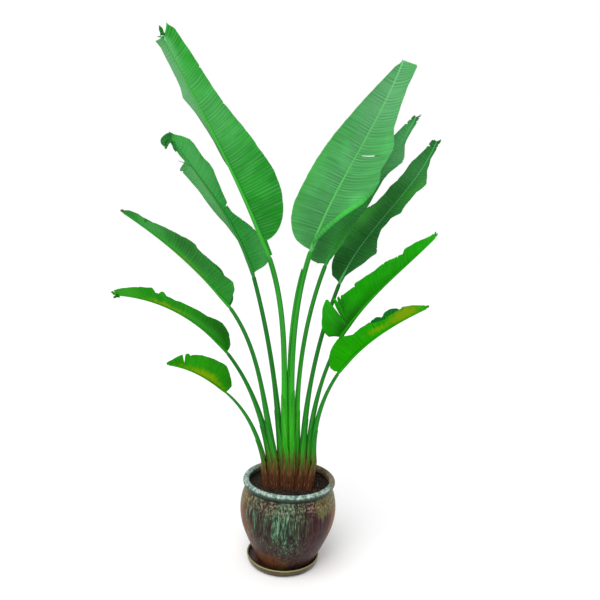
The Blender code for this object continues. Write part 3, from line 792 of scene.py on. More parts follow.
# %% Rib and shreds
RIB_SIDES = 14
RIB_ROWS = 96
RIB_REACH = 0.985            # the rod stops short of the blade's tip
RIB_TIP = 0.0016
USUAL_TAPER = 0.85
RIB_TAPER = {"left_1": 0.7, "left_3": 0.5, "left_4": 0.55, "left_5": 0.55, "right_5": 0.65}
RIB_BEHIND = 0.5             # how far the rod's middle lies behind the sheet, as a share of its half width
SUNK_RIBS = {"right_1": 0.65, "right_3": 0.86}
RIB_INSIDE = 0.020           # the rib starts this far down inside the stalk
RIB_ROUND = 0.004            # its mean radius, for the UV map
WIDEN = 0.0012               # stalks and ribs are this much wider than in the solids


def make_rib(name, leaf):
    """A tapering rod behind the sheet, from inside the stalk's tip to the blade's tip."""
    rod, column, row = new_grid("rib_" + name, RIB_SIDES, RIB_ROWS)
    s = np.linspace(0, RIB_REACH, RIB_ROWS + 1)
    points, ways = rib_path(leaf, RIB_ROWS + 1, RIB_REACH)
    near, inward = axes_along(leaf, ways)
    thick = leaf["thick"][2] + WIDEN
    half = thick + (RIB_TIP - thick) * s ** RIB_TAPER.get(name, USUAL_TAPER)
    opening = opening_angle(leaf, s)
    behind = -swing(near, inward, opening)
    across = swing(near, inward, opening - pi / 2)
    sunk = half * SUNK_RIBS.get(name, RIB_BEHIND) * np.clip(s / 0.10, 0, 1)
    centre = points + behind * sunk[:, None]
    down = points[0] - ways[0] * RIB_INSIDE
    centre = np.vstack([down, down + ways[0] * 0.004, centre[1:-1]])
    half = np.concatenate([[0, thick * 0.55], half[1:-1]])
    turn = 2 * pi * column / RIB_SIDES
    out = swing(behind[row], across[row], turn) * half[row][:, None]
    bend(rod, centre[row] + out, turn * RIB_ROUND, s[row] * leaf["blade"])
    close_seams(rod)
    return rod


# The loose torn strips: (share along the rib, leans, length, width, twist). Those past a share get painted
# shade, as they hang in the shade of the curled tip.
SHADED_SHRED_START = 0.9
SHRED_COLUMNS, SHRED_ROWS = 4, 24
SHRED_DEPTHS = (-12, -4)     # degrees that it leans towards the viewer, below zero, at its start and end
SHRED_TAPER = 0.75
SHRED_CUP = 0.25             # how hollow a strip is, as a share of its width
SHREDS = {
    "left_1": ((0.995, (-14, -28), 0.034, 0.017, 20), (0.990, (-78, -100), 0.024, 0.005, 10)),
    "left_2": ((0.97, (-66, -222), 0.058, 0.030, 0), (0.96, (-115, -188), 0.050, 0.024, 20),
               (0.95, (172, 152), 0.046, 0.018, -10), (0.75, (-63, -75), 0.058, 0.005, 20)),
    "left_4": ((0.95, (-100, -130), 0.027, 0.015, 10),),
}


def make_shred(name, leaf, place, leans, length, width, twist):
    """A narrow torn strip that starts on the rib and curls away."""
    strip, column, row = new_grid(name, SHRED_COLUMNS, SHRED_ROWS)
    points, _ = rib_path(leaf, 101)
    line, ways = path(points[round(place * 100)], length, leans, 0, SHRED_DEPTHS, SHRED_ROWS + 1)
    near, inward = axes_along(leaf, ways)
    across = swing(near, inward, np.radians(90 + twist * np.linspace(0, 1, SHRED_ROWS + 1)))
    s = row / SHRED_ROWS
    wide = width * (1 - SHRED_TAPER * s ** 2) * (1 + 0.15 * np.sin(9 * s + place * 40))
    v = column / SHRED_COLUMNS - 0.5
    cup = near[row] * (np.abs(v) * wide * SHRED_CUP)[:, None]
    bend(strip, line[row] + across[row] * (v * wide)[:, None] + cup, 0.02 + v * wide, s * length)
    # Strips near the tip get the deep tag, which paints them with shade.
    for kind in PATCH_KINDS:
        tag(strip, kind, np.full(len(s), float(kind == "deep" and place > SHADED_SHRED_START)))
    thicken(strip, BLADE_THICKNESS)
    return strip


print("loose strips:", sum(len(strips) for strips in SHREDS.values()))

# %% Make the blades
SLOT = dict(place=0.509, start=0.07, end=0.50, gap=0.0012, reach=0.012)
SLOTTED = "right_1"          # the leaf with the open slot in its near half
UPPER_SIDES = ("right_1", "right_2", "right_3")     # leaves that turn their upper side to the viewer
NICKS = {"left_1": 0, "left_2": 4, "left_3": 3, "left_4": 4, "left_5": 0,
         "right_1": 0, "right_2": 4, "right_3": 4, "right_4": 5, "right_5": 4}


def random_nicks(count, rng):
    """Small slits anywhere, and two deeper ones near the tip of a leaf that has several."""
    nicks = [(rng.uniform(0.12, 0.97), rng.uniform(0.02, 0.05), rng.uniform(0.002, 0.004))
             for _ in range(count)]
    if count > 2:
        nicks += [(place, rng.uniform(0.12, 0.35), 0.003) for place in rng.uniform(0.962, 0.998, 2)]
    return nicks


def open_slot(sheet, t, length, ways):
    """Spread the rows beside the torn slot, like a lens, so that it stands open."""
    share = np.linspace(0, 1, HALF_COLUMNS + 1)
    lens_shape = np.sin(pi * np.clip((share - SLOT["start"]) / (SLOT["end"] - SLOT["start"]), 0, 1))
    off = (t - SLOT["place"]) * length
    push = np.where(off > 0, 1, -1) * np.exp(-np.abs(off) / SLOT["reach"]) * SLOT["gap"]
    sheet += ways[:, None] * np.outer(push, lens_shape)[..., None]


def cut_slot(sheet, t, v):
    """Delete the faces of the slot: the one row of faces at its place, between its two ends."""
    select_only(sheet)
    bpy.ops.object.mode_set(mode="EDIT")
    bpy.ops.mesh.select_mode(type="FACE")
    bpy.ops.mesh.select_all(action="DESELECT")
    bpy.ops.object.mode_set(mode="OBJECT")
    for face in sheet.data.polygons:
        corners = list(face.vertices)
        crosses = t[corners].min() <= SLOT["place"] < t[corners].max()
        inside = v[corners].min() >= SLOT["start"] - 0.01 and v[corners].max() <= SLOT["end"] + 0.01
        face.select = bool(crosses and inside)
    bpy.ops.object.mode_set(mode="EDIT")
    bpy.ops.mesh.delete(type="FACE")
    bpy.ops.object.mode_set(mode="OBJECT")


def make_blade(name, leaf, seed):
    rng = np.random.default_rng(seed)
    rows = round(leaf["blade"] / ROW_STEP)
    t = np.linspace(0, 1, rows + 1)
    points, ways = rib_path(leaf, rows + 1)
    (far, far_out), (near, near_out) = (
        half_sheet(leaf, which, t, points, ways, random_nicks(NICKS[name], rng), rng)
        for which in ("far", "near"))
    if name == SLOTTED:
        open_slot(near, t, leaf["blade"], ways)
    sheet, column, row = new_grid("blade_" + name, 2 * HALF_COLUMNS, rows)
    if leaf["foot"][0] < 0:
        column = 2 * HALF_COLUMNS - column
    step = column - HALF_COLUMNS
    at = row, np.abs(step)
    place = np.where((step > 0)[:, None], near[at], far[at])
    bend(sheet, place, np.where(step > 0, near_out[at], -far_out[at]), t[row] * leaf["blade"])
    v = step / HALF_COLUMNS
    for kind in PATCH_KINDS:
        tag(sheet, kind, patch_values(PATCHES[name], kind, t[row], v))
    if name == SLOTTED:
        cut_slot(sheet, t[row], v)
    main, bloom_and_sheen, other, rib = GREENS[name]
    gloss = (LOW_SPECULAR, LOW_CONTRAST) if name in LOW_LEAVES else (HIGH_SPECULAR, 1.0)
    gloss += (HOLLOW_SHADE.get(name, FAINT_HOLLOW_SHADE),)
    shown = leaf_finish("leaf " + name, main, bloom_and_sheen, *gloss)
    hidden = leaf_finish("leaf back " + name, other, bloom_and_sheen, *gloss)
    for finish in ((shown, hidden) if name in UPPER_SIDES else (hidden, shown)):
        sheet.data.materials.append(finish)
    thicken(sheet, BLADE_THICKNESS, other_side=1)
    rod = make_rib(name, leaf)
    rod.data.materials.append(rib_finish("leaf rib " + name, rib, 2 * gloss[0]))
    strips = [make_shred("shred", leaf, *shred) for shred in SHREDS.get(name, ())]
    for strip in strips:
        strip.data.materials.append(shown)
    settle(join("leaf_blade_" + name, [sheet, rod, *strips]), "blade", "blade_" + name)


for seed, (name, leaf) in enumerate(LEAVES.items()):
    make_blade(name, leaf, seed + 11)

# %% [markdown]
# ## Stalks
#
# The stalks are smooth, firm and green, rounded outside and hollowed to a shallow channel along the side that
# faces the middle of the fan. Each is a grid rolled into a tube: the angle round the tube sets how far out a
# point lies, so the channel and the faint ridges are real shape and not only shading.

# %% Stalk finish
def stalk_finish(name, deep, pale, yellower):
    """Green with fine lines along it. Low down it turns yellower by the share given."""
    f = Finish(name, 0.45, 0.15)
    uv, height = f.surface(), f.height()
    lines = f.noise(uv, 1.0, 4, 0.6, (330, 5, 1))
    broad = f.noise(uv, 1.0, 2, 0.5, (90, 2.5, 1))
    colour = f.fade(lines, 0.35, 0.65, deep, pale)
    colour = f.fade(broad, 0.5, 0.75, colour, tone(pale, 1.22), 0.6)
    colour = f.fade(height, 0.95, 0.50, colour, (48, 190, 20), yellower)
    low = f.span(f.scaled(lines, 0.10, height), 0.43, 0.55, 1.0, 0.0)
    colour = f.mix(f.times(low, 0.35), colour, (110, 120, 40))
    return f.done(colour, lines, 0.35, 0.0005)


BRIGHT_STALK = stalk_finish("bright stalk", (20, 132, 22), (52, 166, 46), 0.8)
STALK = stalk_finish("green stalk", (8, 104, 20), (36, 142, 40), 0.15)
BRIGHT_ONES = ("left_1", "right_1", "right_2")
print("stalk finishes:", BRIGHT_STALK.name, "and", STALK.name)

# %% Stalk shape
STALK_SIDES = 36
STALK_STEP = 0.008
STALK_SWELL = 0.22           # a stalk is thickest at this share of its length
STALK_FOOT_DEPTH = 1.2       # at its foot it is this much deeper than wide
FLARE = 0.0024               # towards its foot a stalk widens into the sheath
FLARE_FROM, FLARE_TO = 0.34, 0.14
RIDGE, RIDGES = 0.00016, 12
CHANNEL_DEPTH = 0.16
CHANNEL_WIDTH = 0.55         # radians
STALK_END = 0.012            # the last stretch narrows, inside the rib
END_CUT = 0.3                # by this share
STALK_ROUND = 0.009          # its mean radius, for the UV map


def stalk_half(leaf, s):
    foot, swell, top = leaf["thick"]
    low = foot + (swell - foot) * np.sin(0.5 * pi * np.clip(s / STALK_SWELL, 0, 1))
    high = swell + (top - swell) * (s - STALK_SWELL) / (1 - STALK_SWELL)
    away = s * leaf["stalk"]
    flare = np.clip((FLARE_FROM - away) / (FLARE_FROM - FLARE_TO), 0, 1) * np.clip(leaf["stalk"] / 0.5, 0, 1)
    return np.where(s < STALK_SWELL, low, high) + WIDEN + FLARE * flare * flare * (3 - 2 * flare)


def make_stalk(name, leaf):
    rows = round(leaf["stalk"] / STALK_STEP)
    tube, column, row = new_grid("stalk_" + name, STALK_SIDES, rows)
    s = np.linspace(0, 1, rows + 1)
    points, ways = stalk_path(leaf, rows + 1)
    near, inward = axes_along(leaf, ways)
    half = stalk_half(leaf, s) * (1 - END_CUT * np.clip((s - 1) * leaf["stalk"] / STALK_END + 1, 0, 1) ** 2)
    deeper = 1 + (STALK_FOOT_DEPTH - 1) * (1 - s) ** 3
    facing = lerp((pi / 2, opening_angle(leaf, 0)), s ** 2)
    ends = np.ones(rows + 1)
    ends[0] = ends[-1] = 0
    turn = 2 * pi * column / STALK_SIDES
    off = (turn - facing[row] + pi) % (2 * pi) - pi
    channel = CHANNEL_DEPTH * np.exp(-(off / CHANNEL_WIDTH) ** 2) * np.clip(s[row] / 0.25, 0.3, 1)
    wide = (half[row] * (1 - channel) + RIDGE * np.cos(RIDGES * turn)) * ends[row]
    out = swing(near[row] * deeper[row][:, None], inward[row], turn) * wide[:, None]
    bend(tube, points[row] + out, turn * STALK_ROUND, s[row] * leaf["stalk"])
    close_seams(tube)
    tube.data.materials.append(BRIGHT_STALK if name in BRIGHT_ONES else STALK)
    tube.name = tube.data.name = "leaf_stalk_" + name
    settle(tube, "stalk", "stalk_" + name)


for name, leaf in LEAVES.items():
    make_stalk(name, leaf)

# %% [markdown]
# ## Rolled young leaf
#
# The newest leaf is still rolled up like an umbrella. Only its slim tip stands beside the first stalk on the
# right. It is a narrow tube whose outer edge winds once round it as a soft ridge.

# %% Rolled young leaf
SPEAR_REACH = 11 / 12        # of the stalk beside it
SPEAR_BESIDE = np.array([(-0.0125, 0.009), (-0.0126, 0.001)])     # from the stalk, at the foot and at the top
SPEAR_HALF = 0.0052
SPEAR_ROUND = 0.004          # its mean radius, for the UV map
SPEAR_EDGE = 0.07            # how far its outer edge stands out, as a share
SPEAR_ROWS = 110
SPEAR_SIDES = 20


def make_spear():
    leaf = LEAVES["right_1"]
    tube, column, row = new_grid("rolled_leaf", SPEAR_SIDES, SPEAR_ROWS)
    points, ways = stalk_path(leaf, round(SPEAR_ROWS / SPEAR_REACH) + 1)
    points, ways = points[:SPEAR_ROWS + 1], ways[:SPEAR_ROWS + 1]
    near, inward = axes_along(leaf, ways)
    s = np.linspace(0, 1, SPEAR_ROWS + 1)
    points[:, :2] += lerp(SPEAR_BESIDE, s[:, None])
    half = SPEAR_HALF * (1 - 0.5 * s ** 12) * (1 + 0.9 * np.clip(1 - s / 0.5, 0, 1))
    half[0] = half[-1] = 0
    turn = 2 * pi * column / SPEAR_SIDES
    wide = half[row] * (0.93 + SPEAR_EDGE * np.cos(turn + 2 * pi * s[row]))
    out = swing(near[row], inward[row], turn) * wide[:, None]
    bend(tube, points[row] + out, turn * SPEAR_ROUND, s[row] * leaf["stalk"])
    close_seams(tube)
    tube.data.materials.append(BRIGHT_STALK)
    settle(tube, "stalk", "spear")


make_spear()

# %% [markdown]
# ## Crown of sheaths
#
# Below the stalks each leaf widens into a sheath that clasps the next one in, and the sheaths lie against
# each other like fingers. They are green above and dry to red brown near the soil, with thin brown edges.
# Each sheath is an open sheet curved round its stalk, given a thickness. Its back is on the outer side, and
# its two edges reach inwards over the next stalk.

# %% Sheath finish
def sheath_finish():
    """Husk at the foot, then olive, then fresh green that fades to the stalk's own, with rusty edges."""
    f = Finish("leaf sheath", 0.6, 0.15)
    uv, height = f.surface(), f.height()
    lines = f.noise(uv, 1.0, 4, 0.65, (260, 5, 1))
    coarse = f.noise(uv, 1.0, 3, 0.6, (90, 3, 1))
    streaks = f.noise(uv, 1.0, 5, 0.7, (150, 14, 1))
    ragged = f.scaled(coarse, 0.20, f.scaled(lines, 0.14, -0.17))
    level = f.plus(height, ragged)
    fresh = f.fade(lines, 0.35, 0.68, (18, 138, 10), (66, 194, 34))
    olive = f.fade(streaks, 0.40, 0.62, (44, 96, 26), (122, 104, 34))
    husk = f.fade(lines, 0.40, 0.62, (34, 20, 18), (104, 68, 38))
    husk = f.fade(coarse, 0.45, 0.60, husk, (86, 38, 26), 0.7)
    husk = f.fade(streaks, 0.55, 0.64, husk, (158, 122, 72), 0.8)
    colour = f.fade(level, 0.385, 0.425, husk, olive)
    colour = f.fade(level, 0.425, 0.480, colour, fresh)
    deep = f.fade(lines, 0.35, 0.68, (8, 106, 16), (34, 146, 36))
    colour = f.mix(f.tagged("fade"), colour, deep)
    rusty = f.scaled(streaks, 0.5, f.scaled(height, -0.9, f.tagged("edge")))
    colour = f.fade(rusty, 0.78, 0.90, colour, (112, 58, 26), 0.85)
    return f.done(colour, f.plus(lines, coarse), 0.6, 0.0010)


SHEATH = sheath_finish()
print("sheath finish:", SHEATH.name)

# %% Sheath shape
SOIL_TOP = 0.306
CROWN_X = -0.006
CORE_SIZE = (0.090, 0.015, 0.112)     # the core between the sheaths: half width, half depth and height
CORE_MIDDLE = 0.044          # its middle lies this far over the soil
CROWN_SPREAD = (0.86, 0.6)   # the sheaths' feet lie nearer the middle than the stalks', across and in depth
SHEATH_SUNK = 0.014          # and this far under the soil's surface
SHEATH_COLUMNS = 32
SHEATH_ROWS = 70
SHEATH_WALL = 0.0013
SHEATH_FOOT = 0.0200         # half width at the soil
SHEATH_GAP = 0.0009          # its upper end lies this far off the stalk
SHEATH_HALF_WAY = 0.022      # the way from its back to an edge, for the UV map
EDGE_LIFT = 0.10             # its edges stand out by this share
SHEATH_TIP = 0.012           # the upper end runs out to a point this long
CLASP, CLASP_MORE = 88, 52   # degrees that a sheath reaches round to each side, and how many more at its foot
FADE_FROM = 0.45             # from this share up, the sheath of a darker stalk turns to its green


def make_sheath(name, leaf, seed):
    """One sheath, from just under the soil up along the stalk."""
    rng = np.random.default_rng(seed)
    sheet, column, row = new_grid("sheath_" + name, SHEATH_COLUMNS, SHEATH_ROWS)
    points, _ = stalk_path(leaf, 241)
    foot = points[0]
    low = np.array([CROWN_X + (foot[0] - CROWN_X) * CROWN_SPREAD[0], foot[1] * CROWN_SPREAD[1],
                    SOIL_TOP - SHEATH_SUNK])
    below = np.linalg.norm(foot - low)
    at = np.linspace(-below, leaf["sheath"], SHEATH_ROWS + 1)
    known = np.concatenate([[-below], np.linspace(0, leaf["stalk"], 241)])
    centre = np.stack([np.interp(at, known, line) for line in np.vstack([low, points]).T], 1)
    way = np.gradient(centre, axis=0)
    way /= np.linalg.norm(way, axis=1)[:, None]
    near, inward = axes_along(leaf, way)
    s = np.linspace(0, 1, SHEATH_ROWS + 1)
    top = float(stalk_half(leaf, np.array(leaf["sheath"] / leaf["stalk"]))) + SHEATH_GAP
    half = top + (SHEATH_FOOT - top) * (1 - s) ** 1.4
    deep = half * (1.18 + 0.25 * (1 - s) ** 1.5)
    span = radians(CLASP) + radians(CLASP_MORE) * (1 - s) ** 0.9
    span = span * (1 + 0.05 * smooth_wave(rng, s, 4))
    u = column / SHEATH_COLUMNS * 2 - 1
    turn = -pi / 2 + u * span[row]
    lift = 1 + EDGE_LIFT * np.abs(u) ** 6
    out = swing(near[row] * (deep[row] * lift)[:, None], inward[row] * half[row][:, None], turn)
    tip = SHEATH_TIP * (1 - np.abs(u)) * np.clip((s[row] - 0.9) / 0.1, 0, 1)
    bend(sheet, centre[row] + out + way[row] * tip[:, None], u * SHEATH_HALF_WAY, at[row])
    tag(sheet, "edge", np.abs(u))
    tag(sheet, "fade", np.clip((s[row] - FADE_FROM) / (1 - FADE_FROM), 0, 1) * (name not in BRIGHT_ONES))
    thicken(sheet, SHEATH_WALL)
    return sheet


sheaths = [make_sheath(name, leaf, seed) for seed, (name, leaf) in enumerate(LEAVES.items())]

bpy.ops.object.select_all(action="DESELECT")
bpy.ops.mesh.primitive_cylinder_add(vertices=64, radius=1, depth=CORE_SIZE[2],
                                    location=(CROWN_X, 0, SOIL_TOP + CORE_MIDDLE))
core = bpy.context.object
core.scale = (*CORE_SIZE[:2], 1)
core.data.uv_layers[0].name = SURFACE
for kind in ("edge", "fade"):
    tag(core, kind, np.zeros(len(core.data.vertices)))
bpy.ops.object.transform_apply(location=True, rotation=True, scale=True)
crown = join("sheath_crown", sheaths + [core])
crown.data.materials.clear()
crown.data.materials.append(SHEATH)
settle(crown, "sheath", "crown")

# %% [markdown]
# ## Jar, saucer and soil
#
# The jar was thrown on a wheel, so it is one outline spun about the upright axis, with a thick rolled lip.
# Glaze ran down it in the kiln: pale green over purple brown, and rust where it is thin. The finish reads the
# place on the jar: noise that is drawn out along the height makes the runs, the height makes the lip and the
# shoulder, and grey ramps over the way round say how much of each glaze lies where. The lip's pale crest is
# partly a painted highlight, and a dark band just under the lip is painted shade.

# %% Turned pieces
TURN_STEPS = 144
JAR_BOTTOM = 0.0123
JAR_WALL = 0.011
JAR_OUTLINE = [(0.112, JAR_BOTTOM), (0.130, 0.050), (0.161, 0.112), (0.183, 0.170), (0.190, 0.225),
               (0.184, 0.274), (0.170, 0.312)]
LIP_RING = (0.1705, 0.332)   # radius and height of the lip's middle line
LIP_ROLL = 0.012
WAY_ROUND = 1.2              # metres once round the belly, for the UV map


def curve_through(points, steps):
    """A smooth line through the points, with this many steps between each two."""
    p = np.array(points)
    p = np.vstack([2 * p[0] - p[1], p, 2 * p[-1] - p[-2]])
    line = []
    for i in range(1, len(p) - 2):
        for s in np.linspace(0, 1, steps, endpoint=False):
            a, b, c, d = p[i - 1:i + 3]
            line.append(0.5 * (2 * b + (c - a) * s + (2 * a - 5 * b + 4 * c - d) * s ** 2
                               + (3 * b - a - 3 * c + d) * s ** 3))
    return line + [p[-2]]


def turned(name, outline, middle_x=0.0, uneven=0.0, seed=0):
    """Spin an outline of (radius, height) points about the upright axis. UV: round it and along it."""
    outline = np.array(outline)
    sheet, column, row = new_grid(name, TURN_STEPS, len(outline) - 1)
    turn = 2 * pi * column / TURN_STEPS
    rng = np.random.default_rng(seed)
    radius, height = outline[row].T
    swell = uneven * sum(np.sin(k * turn + 9 * height * k + rng.uniform(0, 2 * pi)) for k in (2, 3, 5)) / 3
    radius = radius + np.where(radius > 0.001, swell, 0)
    place = np.stack([middle_x + radius * np.cos(turn), radius * np.sin(turn), height], 1)
    along = np.concatenate([[0], np.cumsum(np.linalg.norm(np.diff(outline, axis=0), axis=1))])
    bend(sheet, place, turn / (2 * pi) * WAY_ROUND, along[row])
    close_seams(sheet, 1e-5)
    return sheet


def roll(start, end, steps):
    angles = np.radians(np.linspace(start, end, steps))
    return [(LIP_RING[0] + LIP_ROLL * cos(a), LIP_RING[1] + LIP_ROLL * sin(a)) for a in angles]


outside = curve_through(JAR_OUTLINE, 7)
inside = [(radius - JAR_WALL, height) for radius, height in reversed(outside) if height > 0.03]
jar_floor = JAR_BOTTOM + JAR_WALL
outline = [(0, JAR_BOTTOM), *outside, *roll(-60, 180, 22), *inside, (0.101, jar_floor), (0, jar_floor)]
jar = turned("glazed_jar", outline, uneven=0.0006, seed=3)
print("jar outline:", len(outline), "points")

# %% Jar finish
def round_ramp(f, around, stops):
    """A grey ramp over the way round the jar: 0.5 is the front, 0.75 the right, 0 and 1 the back."""
    ramp = f.add("ValToRGB", {0: around})
    ramp.color_ramp.interpolation = "EASE"
    while len(ramp.color_ramp.elements) < len(stops):
        ramp.color_ramp.elements.new(0.5)
    for element, (place, value) in zip(ramp.color_ramp.elements, stops):
        element.position = place
        element.color = (value, value, value, 1)
    return f.add("SeparateXYZ", {0: ramp.outputs[0]}).outputs[0]


# How much of each glaze lies where on the way round: (place, amount).
RUNS = [(0.0, 0.50), (0.10, 0.10), (0.20, 0.35), (0.30, 0.20), (0.37, 0.62), (0.43, 0.55), (0.49, 0.80),
        (0.545, 0.60), (0.60, 0.16), (0.68, 0.12), (0.75, 0.25), (0.85, 0.60), (0.92, 0.10), (1.0, 0.50)]
RUST = [(0.0, 0.30), (0.15, 0.70), (0.25, 1.0), (0.33, 0.75), (0.40, 0.35), (0.50, 0.15), (0.60, 0.05),
        (0.645, 0.25), (0.69, 0.95), (0.75, 0.90), (0.84, 0.50), (0.92, 0.20), (1.0, 0.30)]
LOW_RUST = [(0.0, 0.60), (0.20, 0.80), (0.36, 0.85), (0.46, 0.75), (0.54, 0.25), (0.66, 0.10), (0.80, 0.50),
            (1.0, 0.60)]
SHOULDER = [(0.0, 0.50), (0.15, 0.80), (0.30, 0.90), (0.40, 0.30), (0.50, 0.10), (0.57, 0.20), (0.64, 0.95),
            (0.75, 0.90), (0.90, 0.30), (1.0, 0.50)]


def jar_finish():
    """Purple brown body, rust over it, olive on the shoulder, green runs down from it, a pale lip whose crest
    is partly a painted highlight, and a painted dark band of shade under the lip.
    """
    f = Finish("jar glaze", 0.38, 0.1)
    place = f.place()
    x, y, z = f.add("SeparateXYZ", {0: place}).outputs
    around = f.scaled(f.maths("ARCTAN2", x, f.times(y, -1)), 0.5 / pi, 0.5)
    runs = f.noise(place, 1.0, 5, 0.65, (80, 80, 7))
    fine = f.noise(place, 1.0, 4, 0.6, (260, 260, 22))
    broad = f.noise(place, 1.0, 3, 0.55, (18, 18, 8))
    mottle = f.noise(place, 95, 5, 0.7)
    drift = f.scaled(broad, 0.9, -0.45)
    body = f.fade(runs, 0.36, 0.64, (38, 20, 28), (74, 40, 38))
    body = f.fade(fine, 0.50, 0.70, body, (112, 76, 66), 0.6)
    rust = f.fade(mottle, 0.38, 0.62, (92, 44, 16), (172, 94, 34))
    rust = f.fade(fine, 0.45, 0.68, rust, (136, 98, 44), 0.6)
    rust = f.fade(runs, 0.50, 0.66, rust, (58, 30, 28), 0.55)
    streaked = f.scaled(runs, 1.6, f.plus(drift, -0.8))
    side = f.plus(round_ramp(f, around, RUST), streaked)
    colour = f.fade(side, 0.35, 0.90, body, rust, 0.95)
    low = f.times(round_ramp(f, around, LOW_RUST), f.span(z, 0.04, 0.15, 1.0, 0.0))
    dull = f.mix(0.5, rust, (78, 54, 46))
    colour = f.fade(f.plus(low, drift), 0.25, 0.75, colour, dull, 0.9)
    olive = f.fade(fine, 0.40, 0.65, (84, 72, 40), (128, 132, 70))
    shoulder = f.span(f.scaled(runs, 0.10, z), 0.262, 0.328)
    high = f.times(round_ramp(f, around, SHOULDER), shoulder)
    colour = f.fade(f.plus(high, drift), 0.25, 0.80, colour, olive, 0.85)
    fall = f.span(z, 0.00, 0.26, 0.45, 1.0)
    broken = f.scaled(runs, 1.5, f.scaled(fine, 1.1, -1.42))
    flow = f.plus(f.times(round_ramp(f, around, RUNS), fall), broken)
    teal = f.fade(fine, 0.38, 0.62, (22, 62, 42), (54, 112, 76))
    bright = f.scaled(mottle, 0.9, f.scaled(fine, 0.9, flow))
    teal = f.fade(bright, 1.46, 1.95, teal, (138, 182, 150), 0.8)
    colour = f.fade(flow, 0.20, 0.85, colour, teal, 0.92)
    specks = f.times(f.span(f.scaled(broad, 0.08, z), 0.278, 0.335), f.span(mottle, 0.48, 0.60))
    dots = f.fade(fine, 0.4, 0.6, (150, 104, 110), (168, 164, 118))
    colour = f.mix(f.times(specks, 0.75), colour, dots)
    level = f.plus(z, f.scaled(runs, 0.010, f.scaled(fine, 0.006, -0.008)))
    # The lip's crest is pale glaze with a painted whitish highlight over it.
    lip = f.span(level, 0.3200, 0.3230)
    crest_glaze_and_highlight = f.span(level, 0.3310, 0.3400)
    pale = f.fade(mottle, 0.40, 0.60, (104, 146, 130), (206, 222, 212))
    rim = f.mix(f.times(crest_glaze_and_highlight, f.span(runs, 0.35, 0.60, 0.45, 1.0)), (52, 77, 66), pale)
    worn = f.fade(broad, 0.4, 0.6, (88, 70, 52), (118, 112, 82))
    worn = f.fade(mottle, 0.48, 0.62, worn, (158, 150, 118), 0.6)
    far_side = f.scaled(x, 0.6, f.scaled(broad, 0.10, y))
    rim = f.fade(far_side, 0.03, 0.12, rim, worn)
    colour = f.mix(lip, colour, rim)
    # Painted shade: a dark band just under the rolled lip, where the lip shades the shoulder.
    line = f.times(f.span(z, 0.309, 0.314), f.span(z, 0.3195, 0.3225, 1.0, 0.0))
    colour = f.mix(f.times(line, 0.85), colour, (30, 18, 20))
    return f.done(colour, f.plus(runs, f.times(mottle, 0.5)), 0.4, 0.0016)


jar.data.materials.append(jar_finish())
settle(jar, "glaze", "pot")

# %% Saucer
SAUCER_X = -0.0125
saucer_outline = [(0, 0), (0.1235, 0), (0.1248, 0.0008), (0.1345, 0.006), (0.1405, 0.015), (0.1432, 0.024),
                  (0.1443, 0.0286), (0.1438, 0.0304), (0.1415, 0.031), (0.1392, 0.0304), (0.1378, 0.0272),
                  (0.1362, 0.020), (0.1338, 0.0138), (0.1305, 0.0122), (0.120, 0.012), (0, 0.012)]
saucer = turned("saucer_dish", saucer_outline, SAUCER_X, 0.0003, 5)


def saucer_finish():
    f = Finish("saucer glaze", 0.34, 0.2)
    place, z = f.place(), f.height()
    mottle = f.noise(place, 34, 4, 0.6)
    colour = f.fade(mottle, 0.38, 0.64, (46, 26, 30), (82, 50, 44))
    outer = f.mix(mottle, (64, 42, 26), (116, 96, 52))
    centred = f.add("Mapping", {"Vector": place, "Location": (-SAUCER_X, 0, 0), "Scale": (1, 1, 0)})
    radius = f.add("VectorMath", {0: centred.outputs[0]}, operation="LENGTH").outputs["Value"]
    colour = f.fade(f.scaled(z, 0.45, radius), 0.1435, 0.1475, colour, outer)
    rim = f.span(f.scaled(mottle, 0.003, z), 0.0285, 0.0305)
    colour = f.mix(f.times(rim, 0.9), colour, (160, 170, 112))
    return f.done(colour, mottle, 0.3, 0.001)


saucer.data.materials.append(saucer_finish())
settle(saucer, "saucer_glaze", "saucer")

# %% [markdown]
# ## Soil
#
# Potting soil is a crumbly mix. A fine turned piece fills the jar, and its top is raised and lowered by many
# small waves that run in random directions. Small crumbs and a few pale grit stones lie on it. They are
# copies of one ball, each made rough on its own, joined into one mesh for the crumbs and one for the grit.

# %% Soil
SOIL_RINGS = 70
SOIL_EDGE = 0.1592
SOIL_WALL = [(0, 0.0238), (0.1005, 0.024), (0.1185, 0.050), (0.1495, 0.112), (0.1715, 0.170), (0.1785, 0.225),
             (0.1725, 0.274)]
SOIL_WAVES = ((22, 0.0022), (60, 0.0016), (140, 0.0010), (320, 0.0006))     # waves per metre and height


def make_soil():
    top = [(SOIL_EDGE * k / SOIL_RINGS, SOIL_TOP) for k in range(SOIL_RINGS, -1, -1)]
    piece = turned("soil_bed", SOIL_WALL + top)
    rng = np.random.default_rng(21)
    co = corners_of(piece)
    x, y, z = co.T
    on_top = z > SOIL_TOP - 0.0005
    away = np.hypot(x, y) / SOIL_EDGE
    relief = np.zeros(len(co))
    for size, height in SOIL_WAVES:
        for _ in range(5):
            way = rng.uniform(0, 2 * pi)
            relief += height / 2.2 * np.sin(size * (x * cos(way) + y * sin(way)) + rng.uniform(0, 6.3))
    co[:, 2] += np.where(on_top & (away < 0.985), relief * np.clip((1 - away) * 12, 0, 1) - 0.001, 0)
    move_corners(piece, co)
    return piece


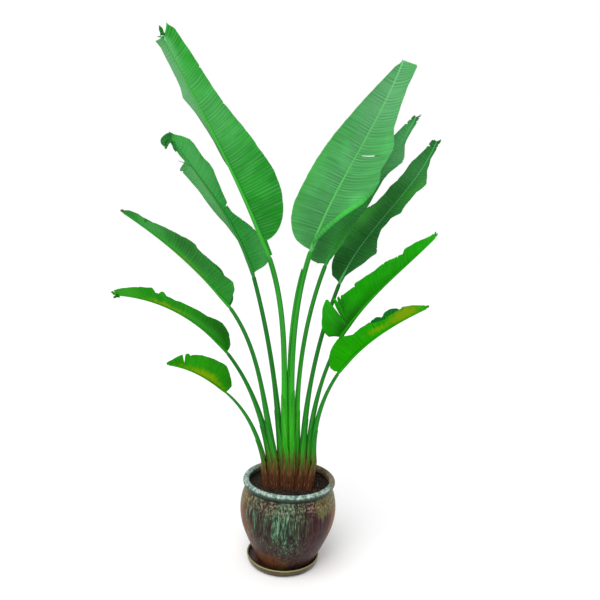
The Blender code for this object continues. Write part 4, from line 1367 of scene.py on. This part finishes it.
def soil_finish(name, dark, light, specks):
    f = Finish(name, 0.95, 0.2)
    place = f.place()
    crumbs = f.noise(place, 180, 5, 0.7)
    broad = f.noise(place, 22, 3)
    colour = f.fade(crumbs, 0.35, 0.7, dark, light)
    colour = f.fade(broad, 0.4, 0.7, colour, dark, 0.5)
    colour = f.fade(f.noise(place, 420, 2), 0.68, 0.72, colour, specks)
    return f.done(colour, crumbs, 0.9, 0.003)


SOIL = soil_finish("potting soil", paint(22, 16, 14), paint(62, 46, 36), paint(150, 140, 124))
soil = make_soil()
soil.data.materials.append(SOIL)
settle(soil, "soil", "soil")

# %% Crumbs and grit
SCATTER_REACH = 0.150


def scatter(name, count, sizes, seed, finish):
    """Copies of one ball on the soil, each made rough on its own, joined into one mesh."""
    rng = np.random.default_rng(seed)
    bpy.ops.object.select_all(action="DESELECT")
    bpy.ops.mesh.primitive_ico_sphere_add(subdivisions=1, radius=1)
    ball = bpy.context.object
    corners = corners_of(ball)
    made = []
    for _ in range(count):
        copy = ball.copy()
        copy.data = ball.data.copy()
        scene.collection.objects.link(copy)
        far_out = SCATTER_REACH * sqrt(rng.random())
        way = rng.uniform(0, 2 * pi)
        size = rng.uniform(*sizes)
        rough = corners * rng.uniform(0.7, 1.25, (len(corners), 1)) * size * [1, rng.uniform(0.7, 1), 0.7]
        rough += [far_out * cos(way), far_out * sin(way), SOIL_TOP + size * 0.35]
        move_corners(copy, rough)
        made.append(copy)
    bpy.data.objects.remove(ball)
    piece = join(name, made)
    piece.data.materials.append(finish)
    select_only(piece)
    bpy.ops.object.shade_smooth()
    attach(piece, "root")
    print(name, len(piece.data.polygons), "faces")


CRUMB = soil_finish("soil crumbs", paint(26, 18, 15), paint(74, 54, 40), paint(120, 104, 84))
GRIT = soil_finish("grit", paint(120, 112, 98), paint(186, 178, 160), paint(210, 204, 190))
scatter("soil_crumbs", 420, (0.0014, 0.0042), 31, CRUMB)
scatter("soil_grit", 60, (0.0010, 0.0024), 32, GRIT)
